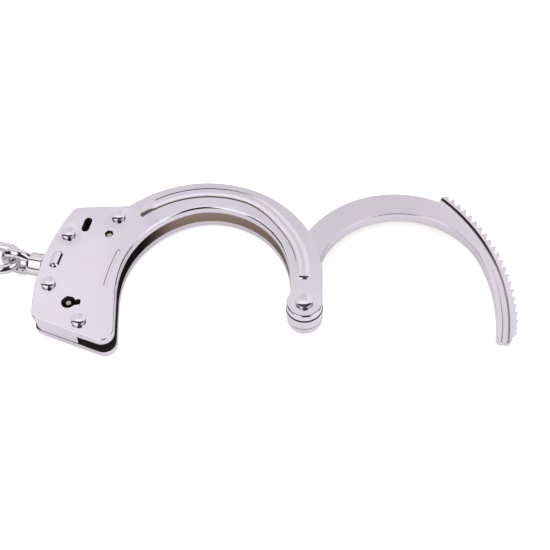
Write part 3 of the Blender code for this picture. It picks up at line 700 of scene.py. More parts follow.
def merged(name, meshes, cuts=()):
    """Closed meshes joined to one body, then cut."""
    objs = []
    for i, mesh in enumerate((*meshes, *cuts)):
        obj = bpy.data.objects.new(f"{name}_tool_{i}", mesh)
        bpy.context.scene.collection.objects.link(obj)
        objs.append(obj)
    base = objs[0]
    for i, tool in enumerate(objs[1:], 1):
        modifier = base.modifiers.new("m", "BOOLEAN")
        modifier.object = tool
        modifier.solver = "EXACT"
        modifier.operation = "UNION" if i < len(meshes) else "DIFFERENCE"
    bpy.context.view_layer.update()
    evaluated = base.evaluated_get(bpy.context.evaluated_depsgraph_get())
    result = bpy.data.meshes.new_from_object(evaluated)
    result.name = name
    for obj in objs:
        bpy.data.objects.remove(obj, do_unlink=True)
    result.polygons.foreach_set("use_smooth", [True] * len(result.polygons))
    result.set_sharp_from_angle(angle=math.radians(40))
    return result


def tube_faces(count, around):
    """Quads of a closed tube: count rings of vertices, so many around each."""
    faces = []
    for i in range(count):
        for j in range(around):
            k, l = (i + 1) % count, (j + 1) % around
            faces.append([i * around + j, k * around + j, k * around + l, i * around + l])
    return faces


def torus_mesh(name, ring_radius, wire_radius, count=84, around=28):
    verts = []
    for i in range(count):
        turn = 2 * math.pi * i / count
        for j in range(around):
            roll = 2 * math.pi * j / around
            reach = ring_radius + wire_radius * math.cos(roll)
            verts.append((reach * math.cos(turn), reach * math.sin(turn), wire_radius * math.sin(roll)))
    return make_mesh(name, np.array(verts), tube_faces(count, around))


# ---------------------------------------------------------------- materials
class Graph:
    """Short calls that add a shader node, feed it and return its output."""

    def __init__(self, tree):
        self.tree = tree

    def add(self, kind):
        return self.tree.nodes.new("ShaderNode" + kind)

    def feed(self, socket, value):
        if isinstance(value, bpy.types.NodeSocket):
            self.tree.links.new(value, socket)
        else:
            socket.default_value = value

    def math(self, kind, *values):
        node = self.add("Math")
        node.operation = kind
        for socket, value in zip(node.inputs, values):
            self.feed(socket, value)
        return node.outputs["Value"]

    def ramp(self, value, low, high, to_low=0.0, to_high=1.0, kind="LINEAR"):
        node = self.add("MapRange")
        node.interpolation_type = kind
        self.feed(node.inputs["From Min"], low)
        self.feed(node.inputs["From Max"], high)
        self.feed(node.inputs["To Min"], to_low)
        self.feed(node.inputs["To Max"], to_high)
        self.feed(node.inputs["Value"], value)
        return node.outputs["Result"]

    def mix(self, factor, first, second):
        node = self.add("Mix")
        node.data_type = "RGBA"
        self.feed(node.inputs["Factor"], factor)
        self.feed(node.inputs["A"], first)
        self.feed(node.inputs["B"], second)
        return node.outputs["Result"]

    def noise(self, where, scale, detail=3.0, roughness=0.5, stretch=None, turn=0.0):
        node = self.add("TexNoise")
        self.feed(node.inputs["Scale"], scale)
        self.feed(node.inputs["Detail"], detail)
        self.feed(node.inputs["Roughness"], roughness)
        if stretch:
            mapping = self.add("Mapping")
            self.feed(mapping.inputs["Scale"], stretch)
            self.feed(mapping.inputs["Rotation"], (0, 0, math.radians(turn)))
            self.feed(mapping.inputs["Vector"], where)
            where = mapping.outputs["Vector"]
        self.feed(node.inputs["Vector"], where)
        return node.outputs["Fac"]

    def attribute(self, name):
        node = self.add("Attribute")
        node.attribute_name = name
        return node.outputs["Fac"]


def metal(name, light, dark, rough, spread, bump=0.12, scratch=0.5, wave=0.25, brushed=0.0):
    """Plated steel: cloudy tint between light and dark, roughness rough +- spread, hairline
    scratches, fine grain (bump), a faint waviness, brighter worn rims and, where asked, brushing."""
    material = bpy.data.materials.new(name)
    material.use_nodes = True
    graph = Graph(material.node_tree)
    shader = material.node_tree.nodes["Principled BSDF"]
    shader.inputs["Metallic"].default_value = 1.0
    # the pattern is shifted for each object
    coords = graph.add("TexCoord")
    info = graph.add("ObjectInfo")
    shift = graph.add("VectorMath")
    shift.operation = "ADD"
    graph.feed(shift.inputs[0], coords.outputs["Object"])
    graph.feed(shift.inputs[1], info.outputs["Random"])

    def noise(*settings, **more):
        return graph.noise(shift.outputs["Vector"], *settings, **more)

    cloud = graph.ramp(noise(scale=70, detail=4, roughness=0.55), 0.35, 0.65)
    colour = graph.mix(cloud, (*dark, 1), (*light, 1))

    patchy = graph.ramp(noise(scale=900, detail=2), 0.3, 0.7, 0.35, 1.0)
    worn = graph.math("MULTIPLY", graph.attribute("rim"), patchy)
    polished = (*(min(1, part * gain) for part, gain in zip(light, (1.12, 1.12, 1.10))), 1)
    colour = graph.mix(graph.math("MULTIPLY", worn, 0.45), colour, polished)

    # brown for values up to 1, used on the faces towards the gap and in the painted dark lines; near black
    # from there to 2, painted shade in the holes, the gaps, the lock and under the strand
    dull = graph.attribute("dull")
    patchy = graph.ramp(noise(scale=420, detail=3), 0.3, 0.7, 0.8, 1.0)
    colour = graph.mix(graph.math("MULTIPLY", dull, patchy), colour, (0.66, 0.57, 0.51, 1))
    colour = graph.mix(graph.math("SUBTRACT", dull, 1.0), colour, (0.035, 0.03, 0.03, 1))
    graph.feed(shader.inputs["Base Color"], colour)

    # hairline scratches in three directions, each broken up by a coarser noise
    lines = None
    for turn, scale in ((17, 240), (-38, 300), (74, 210)):
        fine = noise(scale=scale, detail=1.0, stretch=(1.0, 26.0, 1.0), turn=turn)
        fine = graph.ramp(fine, 0.66, 0.74)
        broken = graph.ramp(noise(scale=120 + scale / 4, detail=1), 0.45, 0.7)
        fine = graph.math("MULTIPLY", fine, broken)
        lines = fine if lines is None else graph.math("MAXIMUM", lines, fine)

    smear = noise(scale=160, detail=5, roughness=0.6)
    roughness = graph.ramp(smear, 0.3, 0.7, max(0.02, rough - spread), rough + spread)
    for source, amount in ((lines, 0.10 * scratch), (worn, 0.05), (dull, 0.30)):
        roughness = graph.math("ADD", roughness, graph.math("MULTIPLY", source, amount))
    graph.feed(shader.inputs["Roughness"], roughness)

    grain = noise(scale=2600, detail=3, roughness=0.6)
    height = graph.math("MULTIPLY", grain, 0.5 * bump)
    height = graph.math("SUBTRACT", height, graph.math("MULTIPLY", lines, 0.35 * scratch))
    if brushed:
        brush = noise(scale=1500, detail=2, roughness=0.6, stretch=(1.0, 1.0, 14.0))
        height = graph.math("ADD", height, graph.math("MULTIPLY", brush, brushed))
    fine_bump = graph.add("Bump")
    fine_bump.inputs["Strength"].default_value = 0.35
    fine_bump.inputs["Distance"].default_value = 0.000012
    graph.feed(fine_bump.inputs["Height"], height)
    swell = graph.add("Bump")
    swell.inputs["Strength"].default_value = wave
    swell.inputs["Distance"].default_value = 0.00008
    graph.feed(swell.inputs["Height"], noise(scale=110, detail=1.5, roughness=0.4))
    graph.feed(fine_bump.inputs["Normal"], swell.outputs["Normal"])
    graph.feed(shader.inputs["Normal"], fine_bump.outputs["Normal"])
    material.diffuse_color = (*light, 1)
    return material


PLATE = metal(
    "nickel_plate", light=(0.704, 0.654, 0.738), dark=(0.682, 0.640, 0.705), rough=0.09, spread=0.025,
)
STRAND = metal(
    "nickel_strand", light=(0.696, 0.645, 0.715), dark=(0.678, 0.632, 0.700),
    rough=0.10, spread=0.03, brushed=0.15,
)
RIVET = metal(
    "nickel_rivet", light=(0.700, 0.655, 0.720), dark=(0.680, 0.640, 0.700),
    rough=0.06, spread=0.02, wave=0.12,
)
CHAIN = metal(
    "nickel_chain", light=(0.700, 0.660, 0.700), dark=(0.670, 0.635, 0.675), rough=0.09, spread=0.03,
)
INNER = metal(
    "dull_steel", light=(0.50, 0.45, 0.41), dark=(0.38, 0.33, 0.29),
    rough=0.32, spread=0.08, bump=0.3, scratch=0.8,
)
BLACK = metal(
    "blackened_steel", light=(0.045, 0.040, 0.038), dark=(0.025, 0.022, 0.022),
    rough=0.42, spread=0.08, bump=0.4, scratch=0.6,
)
SPRING = metal(
    "spring_steel", light=(0.34, 0.35, 0.40), dark=(0.26, 0.26, 0.30),
    rough=0.28, spread=0.06, bump=0.3,
)


# ---------------------------------------------------------------- seeds: mesh points where a face bends
def ridge_seeds():
    points = []
    for a in np.arange(RIDGE_A0 - 1.2, RIDGE_A1 + 1.6, 1.0):
        inner, _, outer = ridge_edges(a)
        span = outer - inner
        from_in = [-0.25, -0.02, 0.045, 0.09, 0.13, 0.17, 0.35]
        from_out = [-0.25, -0.02, 0.12, 0.25, 0.38, 0.7, 1.0, 1.3]
        if a > 119:
            from_out = [d for d in from_out if d < span * 0.35 or d < 0]
            from_in = [d for d in from_in if d < span * 0.62]
        points += [polar(inner + d, a, RIDGE_CENTRE) for d in from_in]
        points += [polar(outer - d, a, RIDGE_CENTRE) for d in from_out]
        count = max(1, int((span - from_in[-1] - max(from_out)) / 0.45))
        low, high = inner + from_in[-1], outer - max(from_out)
        points += [polar(low + (high - low) * i / count, a, RIDGE_CENTRE) for i in range(1, count)]
    for a in np.arange(RIDGE_A0 - 0.6, RIDGE_A0 + 4.5, 0.25):  # the domed end
        for off in np.linspace(-RIDGE_HALF, RIDGE_HALF, 27):
            points.append(polar(RIDGE_R_PIVOT + off, a, RIDGE_CENTRE))
    for a in np.arange(RIDGE_A1 - 9, RIDGE_A1 + 1.2, 0.35):  # the run-out at the lock case
        for off in np.linspace(-RIDGE_HALF - 0.1, 0.8, 20):
            points.append(polar(RIDGE_R_CASE + off, a, RIDGE_CENTRE))
    return thin(points, 0.04)


def boss_seeds():
    """The middle line, then capsules growing out past the boss's edge."""
    centre = polar(BOSS_AT, SWIVEL_A)
    across = SWIVEL_A + 90
    points = [polar(t, across, centre) for t in np.linspace(-1.8, 1.8, 9)]
    for part in (0.05, 0.1, 0.16, 0.25, 0.38, 0.5, 0.6, 0.7, 0.8, 0.87, 0.93, 0.97, 1.0, 1.05):
        width = BOSS_WID * part
        length = BOSS_LEN - BOSS_WID + width + 1e-4
        points += obround(*centre, across, length, width + 1e-4, 18)
        for t in np.linspace(-1.7, 1.7, 9):
            base = polar(t, across, centre)
            points += [polar(side * width / 2, across + 90, base) for side in (-1, 1)]
    return thin(points, 0.06)


def mark_seeds(radius, offsets):
    """Rows along the arc mark, then half circles round its two ends."""
    points = []
    for a in np.arange(BEAD_A[0], BEAD_A[1] + 0.01, 0.55):
        points += [polar(radius + offset, a) for offset in offsets]
    for end, sign in zip(BEAD_A, (-1, 1)):
        centre = polar(radius, end)
        for offset in sorted({abs(value) for value in offsets}):
            for t in np.linspace(-90, 90, 11):
                points.append(polar(offset, end + sign * 90 + t, centre) if offset else centre)
    return thin(points, 0.045)


OUTSIDE_SEEDS = (
    ridge_seeds(),
    boss_seeds(),
    mark_seeds(DIP_R, (
        -0.64, -0.59, -0.54, -0.49, -0.44, -0.38, -0.2, 0, 0.2, 0.38, 0.44, 0.49, 0.54, 0.59, 0.64,
    )),
    [
        point for x, y in (*RIVETS.values(), (0, 0))
        for radius in (1.9, 2.4, 2.9, 3.5) for point in circle(x, y, radius, 40)
    ],
    [point for inset in (0.66, 0.58, 0.5, 0.42) for point in circle(0, 0, EYE_R - inset, 150)],
    [
        (
            CASE_BOTTOM_LEFT[0] + FOOT_RUN[0] * t + FOOT_ACROSS[0] * d,
            CASE_BOTTOM_LEFT[1] + FOOT_RUN[1] * t + FOOT_ACROSS[1] * d,
        )
        for t in np.linspace(0.03, 0.97, 60) for d in (0.36, 0.44, 0.52, 0.6)
    ],
    [
        polar(radius + d, a, (x, y))
        for (x, y, radius), start, end in ((BOW_IN_NEAR, 8, 99), (BOW_IN_CASE, 99, 180))
        for a in np.arange(start, end, 1.0) for d in (0.62, 0.7, 0.8)
    ],
)
INSIDE_SEEDS = (mark_seeds(BEAD_R, (-0.62, -0.52, -0.42, -0.3, 0, 0.3, 0.42, 0.52, 0.62)),)
GROOVE_SEEDS = (thin([
    polar(radius, a) for a in np.arange(NOSE_A - 0.2, 47.5, 0.45)
    for radius in (
        58.85, 59.05, 59.15, 59.25, 59.35, 59.45, 59.55, 59.8, 60.2,
        60.6, 60.86, 60.98, 61.1, 61.24, 61.36, 61.48, 61.6, 61.75,
    )
], 0.05),)


# ---------------------------------------------------------------- pieces of one cuff, in its own frame
def cheek_inner_rim(points):
    x, y = points.T
    at_foot = (y < 9) & (x < -66)
    return np.where(distance(x, y) < 6.2, 0.42, np.where(at_foot, 0.07, 0.2))


def cheek_outer_rim(points):
    """The edge is well rounded outside, most of all in the bow and along the foot; holes keep a
    small chamfer."""
    x, y = points.T
    hole = (distance(x, y, KEY) < 4.3) | (distance(x, y, LOCK_SLOT) < 3.2)
    for centre in (*RIVETS.values(), PAWL_PIVOT, (0.0, 0.0)):
        hole |= distance(x, y, centre) < 1.9
    in_bow = ease((31.5 - distance(x, y, RIDGE_CENTRE)) / 2.0)
    foot = ease((2.0 - y) / 3.0) * ease((-40 - x) / 4.0) * 0.3
    return np.where(hole, 0.14, 0.30 + 0.26 * np.maximum(in_bow, foot))


def cheek_mesh(name, front):
    holes = [circle(0, 0, PIVOT_SHANK_R + HOLE_CLEAR)]
    holes += [circle(x, y, RIVET_HOLE_R) for x, y in RIVETS.values()]
    outer = (outside_of_cheek, cheek_outer_rim, OUTSIDE_SEEDS)
    inner = (inside_of_cheek, cheek_inner_rim, INSIDE_SEEDS)
    if front:
        holes += [keyhole(), resample(obround(*LOCK_SLOT), 0.25), circle(*PAWL_PIVOT, PAWL_HOLE_R)]
        levels, faces, inward = (Z_FRONT0, Z_FRONT1), (outer, inner), -1
    else:
        holes += [circle(*KEY, KEY_POST_R + HOLE_CLEAR), circle(*PAWL_PIVOT, PAWL_PIN_R + HOLE_CLEAR)]
        levels, faces, inward = (Z_REAR0, Z_REAR1), (inner, outer), 1

    def brown_and_shade(up, loop, step, points):
        """The face towards the gap is brown and dull; painted shade makes the walls of the holes and the
        inside of the lock near black and darkens two rings of that face's rim."""
        if loop:
            return 1.8 if up == inward or step < 2 else 0.0
        if up != inward:
            return 0.0
        if step < 2:
            return 0.3 * step
        # painted shade: near black deep inside the lock case
        lock_shade = ease((-41 - points[:, 0]) / 10)
        if step < 5:
            lock_shade = lock_shade * ease((points[:, 0] + 67.5) / 1.5)
        return 1.0 + 0.93 * lock_shade + 0.25 * (step in (3, 4))

    def painted_shade_lines(up, points):
        """Painted shade in the corners of the pressed mark and a painted dark reflection along the ridge's
        inner edge.
        """
        if up == inward:
            return 0.0
        mark = mark_distance(*points.T, DIP_R)
        mark = 0.8 * np.exp(-(((mark - BEAD_HALF + 0.06) / 0.11) ** 2))
        angle, _, from_in, _, _, left = ridge_place(*points.T)
        wide = ease((angle - 118) / 7)
        foot = ease((0.24 + 0.40 * wide - np.abs(from_in - 0.1 - 0.42 * wide)) / 0.16 + 0.5)
        foot = foot * (1.35 + 0.40 * ease((angle - 25) / 35)) * ease((angle - 4) / 4)
        return np.maximum(mark, foot * ease(left / 0.35))

    return relief(
        name, [cheek_outline(), *holes], *levels, *faces,
        brown_and_shade=brown_and_shade, painted_shade_lines=painted_shade_lines, pivot_shade_faces=(inward,),
    )


def button(radius):
    """A rivet head from the crown out: (radius, height over the plate). A low dome, a tight
    shoulder, its side drawn in towards the plate."""
    widest, rise = 0.55, HEAD_H - 0.80
    crown = (radius * radius + rise * rise) / (2 * rise)
    reach = 0.955 * radius
    points = []
    for i in range(11):
        across = reach * i / 10
        points.append((across, HEAD_H - crown + math.sqrt(crown**2 - across**2)))
    shoulder, top = points[-1]
    for i in range(1, 8):
        a = math.pi / 2 * i / 7
        points.append((shoulder + (radius - shoulder) * math.sin(a), widest + (top - widest) * math.cos(a)))
    for i in range(1, 7):
        a = math.pi / 2 * i / 6
        points.append((radius - 0.30 * (1 - math.cos(a)), widest - (widest - 0.03) * math.sin(a)))
    return points


def rivet_mesh(name, shank, head_radius):
    head = button(head_radius)
    top = [(radius, Z_FRONT1 + z) for radius, z in head]
    bottom = [(radius, Z_REAR0 - z) for radius, z in reversed(head)]
    shaft = [(shank, Z_FRONT1 + 0.05), (shank, Z_REAR0 - 0.05)]
    return lathe(name, top + shaft + bottom, 96, 60)


def strand_mesh(name):
    def edge(points):
        radius, angle = polar_of(*points.T)
        toothed = (radius > 61.3) & (angle > -13.6) & (angle < TOOTHED_TO + 0.6)
        return np.where(toothed, 0.10, np.where(radius < 6.2, 0.42, 0.26))

    def painted_contact_shadow(up, loop, step, points):
        """Painted shadow along the lower edge of the underside."""
        return 1.5 if up < 0 and step >= 1 and loop == 0 else 0.0

    def painted_shade_lines(up, points):
        """Painted shade against both walls of the groove, heaviest against the outer one."""
        radius, angle = polar_of(*points.T)
        upper, lower = ease((angle - 2) / 20), ease((2 - angle) / 8)
        outer = ease((0.18 + 0.08 * upper - np.abs(radius - 61.3)) / 0.14 + 0.5)
        outer = (1.2 + 0.78 * upper) * outer
        inner = ease((0.08 + 0.07 * lower - np.abs(radius - 59.15)) / 0.1 + 0.5)
        inner = (1.3 + 0.5 * lower) * inner * ease((38 - angle) / 12)
        return np.maximum(outer, inner) * (groove_height(*points.T) < -0.02)

    face = (groove_height, edge, GROOVE_SEEDS)
    z1 = Z_MID + STRAND_T / 2
    mesh = relief(
        name, [strand_outline(), circle(0, 0, PIVOT_SHANK_R + 0.1)], Z_MID - STRAND_T / 2, z1,
        face, face, brown_and_shade=painted_contact_shadow, painted_shade_lines=painted_shade_lines, pivot_shade_faces=(1, -1),
    )
    # the free end leans back towards its underside
    verts = np.empty(len(mesh.vertices) * 3)
    mesh.vertices.foreach_get("co", verts)
    verts = verts.reshape(-1, 3)
    x, y, z = verts.T
    radius, angle = polar_of(x, y)
    low = np.clip((z1 - z / MM) / STRAND_T, 0, 1)
    turn = np.radians(1.05 * low**1.3 * ease((-13.4 - angle) / 2.2) * (radius > 0.05))
    cos, sin = np.cos(turn), np.sin(turn)
    verts[:, 0], verts[:, 1] = cos * x - sin * y, sin * x + cos * y
    mesh.vertices.foreach_set("co", verts.ravel())
    mesh.update()
    return mesh


TIP_OVER = Matrix.Rotation(math.radians(90), 4, "Y")
QUARTER_X = Matrix.Rotation(math.radians(90), 4, "X")
ALONG = Matrix.Rotation(math.radians(SWIVEL_A), 4, "Z")
AXIS = Vector((math.cos(math.radians(SWIVEL_A)), math.sin(math.radians(SWIVEL_A)), 0))


def swivel_mesh(name):
    """Head, neck, barrel and eye, along local X."""
    profile = [
        (0, BARREL[1]), (BARREL_R, BARREL[1]), (BARREL_R, BARREL[0]), (NECK_R, BARREL[0]),
        (NECK_R, BOSS_AT + 1.0), (SWIVEL_HEAD_R, BOSS_AT + 1.0),
        (SWIVEL_HEAD_R, BOSS_AT - 0.9), (0, BOSS_AT - 0.9),
    ]
    profile = rounded(profile, [0, 1.55, 0.85, 0.25, 0.2, 0.35, 0.35, 0], 8, closed=False)
    body = lathe(name + "_body", profile)
    ring = torus_mesh(name + "_ring", RING_R, WIRE_R)
    ring.transform(Matrix.Translation((0, 0, EYE_AT * MM)) @ QUARTER_X)
    mesh = merged(name, [body, ring])
    mesh.transform(TIP_OVER)
    return mesh


def link_mesh(name):
    """An oval link of round wire, its butt weld a low collar on one straight side."""
    half = LINK_LEN / 2 - LINK_HALF
    path = arc(half, 0, LINK_HALF, -90, 90, 180 / 26)
    path += [(half - 2 * half * i / 16, LINK_HALF) for i in range(1, 16)]
    path += arc(-half, 0, LINK_HALF, 90, 270, 180 / 26)
    path += [(-half + 2 * half * i / 16, -LINK_HALF) for i in range(1, 16)]
    path = np.array(path)
    along = np.roll(path, -1, 0) - np.roll(path, 1, 0)
    along /= np.linalg.norm(along, axis=1)[:, None]
    outward = np.column_stack([along[:, 1], -along[:, 0]])
    around = 28
    verts = []
    for (x, y), out in zip(path, outward):
        seam = math.exp(-((x / 0.5) ** 2)) * 0.14 if y > 0 and abs(x) < 1.6 else 0.0
        for j in range(around):
            roll = 2 * math.pi * j / around
            normal = np.array([out[0] * math.cos(roll), out[1] * math.cos(roll), math.sin(roll)])
            verts.append(np.array([x, y, 0]) + (LINK_WIRE + seam) * normal)
    return make_mesh(name, np.array(verts), tube_faces(len(path), around))


def block_mesh(name, outline, rivets, radius=0.16):
    """A spacer between the two plates, bored for the rivets through it."""
    return plain_slab(
        name, outline, [circle(*RIVETS[key], RIVET_HOLE_R, 32) for key in rivets], *BLOCK_Z, radius,
    )


def swivel_block_mesh(name):
    """The spacer that holds the swivel: a pocket for its head, a bore for its neck."""
    outline = soft_loop(SWIVEL_BLOCK, 0.35, 2)
    block = block_mesh(name, outline, ("rivet_swivel_upper", "rivet_swivel_lower"))
    middle = polar(BOSS_AT, SWIVEL_A)
    side = rounded([(-1.3, -3.05), (1.3, -3.05), (1.3, 3.05), (-1.3, 3.05)], 0.3, 4)
    pocket = [
        (middle[0] + x * AXIS.x - y * AXIS.y, middle[1] + x * AXIS.y + y * AXIS.x) for x, y in side
    ]
    pocket = plain_slab(name + "_pocket", pocket, [], BLOCK_Z[0] - 1, BLOCK_Z[1] + 1, 0.1, 5)
    bore_r = NECK_R + 0.12
    bore = lathe(name + "_bore", [(0, 90), (bore_r, 90), (bore_r, 78.5), (0, 78.5)], 40)
    bore.transform(Matrix.Translation((0, 0, Z_MID * MM)) @ ALONG @ TIP_OVER)
    return merged(name, [block], [pocket, bore])


def pin_mesh(name, radius, z_top, z_low):
    dome = 0.18
    profile = [
        (0, z_top),
        *[(radius * 0.8 * i / 4, z_top - dome * 0.45 * (i / 4) ** 2) for i in range(1, 4)],
        (radius - 0.14, z_top - dome * 0.5), (radius - 0.05, z_top - dome * 0.75),
        (radius, z_top - dome - 0.1), (radius, z_low + 0.12), (radius - 0.12, z_low), (0, z_low),
    ]
    return lathe(name, profile, 40, 60)


def spring_mesh(name):
    """A leaf 0.5 mm thick along SPRING_LINE."""
    line = smooth(resample(smooth(SPRING_LINE, 1), 0.5, closed=False), 12)
    left, right = [], []
    for i, (x, y) in enumerate(line):
        before, after = line[max(0, i - 1)], line[min(len(line) - 1, i + 1)]
        along = (Vector(after) - Vector(before)).normalized()
        left.append((x - 0.25 * along.y, y + 0.25 * along.x))
        right.append((x + 0.25 * along.y, y - 0.25 * along.x))
    return plain_slab(name, left + right[::-1], [], Z_MID - 1.6, Z_MID + 1.6, 0.08, 3)


def lock_bar_mesh(name):
    x, y, direction, _, _ = LOCK_SLOT
    bar = plain_slab(name, rounded(LOCK_BAR, 0.25, 5), [], Z_MID - 1.8, Z_MID + 1.8, 0.14, 2)
    turn = Matrix.Rotation(math.radians(direction - 90), 4, "Z")
    bar.transform(Matrix.Translation(((x - 0.2) * MM, y * MM, 0)) @ turn)
    return bar


def pawl_mesh(name):
    outline = turned_by(pawl_outline(), PAWL_PIVOT, -PAWL_SWING)
    hole = circle(*PAWL_PIVOT, PAWL_PIN_R + 0.1, 32)
    return plain_slab(name, outline, [hole], Z_MID - 1.9, Z_MID + 1.9, 0.1, 1.5)


# ---------------------------------------------------------------- the pieces in their places
COLLECTION = bpy.data.collections.new("handcuffs_visual")
bpy.context.scene.collection.children.link(COLLECTION)


def place_piece(part, mesh, material, body, matrix):
    mesh = mesh.copy()
    piece = bpy.data.objects.new(f"{part}_fine", mesh)
    COLLECTION.objects.link(piece)
    mesh.materials.clear()
    mesh.materials.append(material)
    mesh.transform(matrix)
    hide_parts(part)
    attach(piece, body)


def at_point(x, y):
    return Matrix.Translation((x * MM, y * MM, 0))


HOME = Matrix.Identity(4)
rivet = rivet_mesh("rivet", RIVET_SHANK_R, RIVET_HEAD_R)
top_block = block_mesh("top_block", soft_loop(TOP_BLOCK, 0.4, 2), ["rivet_top"], 0.25)
base_block = block_mesh("base_block", soft_loop(BASE_BLOCK, 0.35, 2), ["rivet_base"], 0.25)
pivot_rivet = rivet_mesh("pivot_rivet", PIVOT_SHANK_R, PIVOT_HEAD_R)
pawl_pin = pin_mesh("pawl_pin", PAWL_PIN_R, Z_FRONT1 - 0.55, Z_REAR0 + 0.4)
key_post = pin_mesh("key_post", KEY_POST_R, Z_FRONT1 - 0.35, Z_REAR0 + 0.3)
swivel_place = Matrix.Translation((0, 0, Z_MID * MM)) @ ALONG

# name, mesh, material, slot, the body it rides on, place in the cuff
PARTS = [
    ("front_plate", cheek_mesh("front_plate", True), PLATE, "plate", "cuff", HOME),
    ("rear_plate", cheek_mesh("rear_plate", False), PLATE, "plate", "cuff", HOME),
    ("top_block", top_block, PLATE, "plate", "cuff", HOME),
    ("base_block", base_block, PLATE, "plate", "cuff", HOME),
    ("swivel_block", swivel_block_mesh("swivel_block"), PLATE, "plate", "cuff", HOME),
    ("pivot_rivet", pivot_rivet, RIVET, "rivet", "cuff", HOME),
    ("single_strand", strand_mesh("single_strand"), STRAND, "strand", "strand", HOME),
    ("pawl", pawl_mesh("pawl"), BLACK, "inner", "pawl", HOME),
    ("pawl_pin", pawl_pin, INNER, "inner", "cuff", at_point(*PAWL_PIVOT)),
    ("double_lock_bar", lock_bar_mesh("double_lock_bar"), BLACK, "inner", "double_lock", HOME),
    ("key_post", key_post, INNER, "inner", "cuff", at_point(*KEY)),
    ("pawl_spring", spring_mesh("pawl_spring"), SPRING, "spring", "cuff", HOME),
    ("swivel", swivel_mesh("swivel"), CHAIN, "chain", "swivel", swivel_place),
    *[(name, rivet, RIVET, "rivet", "cuff", at_point(*at)) for name, at in RIVETS.items()],
]

link_pitch = LINK_LEN - 2 * LINK_WIRE - LINK_GAP
ring_reach = RING_R - WIRE_R - LINK_WIRE - LINK_GAP
link_1_at = EYE_AT + ring_reach + LINK_LEN / 2
link_2_at = link_1_at + link_pitch
pair_distance = 2 * EYE_AT + 2 * ring_reach + LINK_LEN + link_pitch
CUFF_B = Matrix.Translation(AXIS * pair_distance * MM) @ Matrix.Rotation(math.pi, 4, "Z")
# in cuff B the strand is closed and the swivel turned a quarter about its own axis
TURNED_IN_B = {
    "single_strand": Matrix.Rotation(math.radians(-CLOSED_TURN), 4, "Z"),
    "swivel": QUARTER_X,
}

for part, mesh, material, slot, body, place in PARTS:
    place_piece(f"{part}_a", mesh, material, f"{body}_a", place)
    place_b = CUFF_B @ (place @ TURNED_IN_B.get(part, HOME))
    place_piece(f"{part}_b", mesh, material, f"{body}_b", place_b)

link = link_mesh("chain_link")
for i, (at, tilt) in enumerate(((link_1_at, 0), (link_2_at, 90)), 1):
    place = Matrix.Translation(AXIS * at * MM + Vector((0, 0, Z_MID * MM))) @ ALONG
    place = place @ Matrix.Rotation(math.radians(tilt), 4, "X")
    place_piece(f"chain_link_{i}", link, CHAIN, f"link_{i}", place)

# ---------------------------------------------------------------- the studio
scene = bpy.context.scene
scene.view_settings.view_transform = "Standard"
scene.view_settings.look = "None"
scene.view_settings.exposure = 0.0
scene.view_settings.gamma = 1.0

CAMERA_AT = (-8.3575, -180.2883, 278.199)  # mm
CAMERA_DOWN = math.radians(54.4932)
CAMERA_ROLL = math.radians(-3.1379)
CAMERA_FORWARD = Vector((0, math.cos(CAMERA_DOWN), -math.sin(CAMERA_DOWN)))


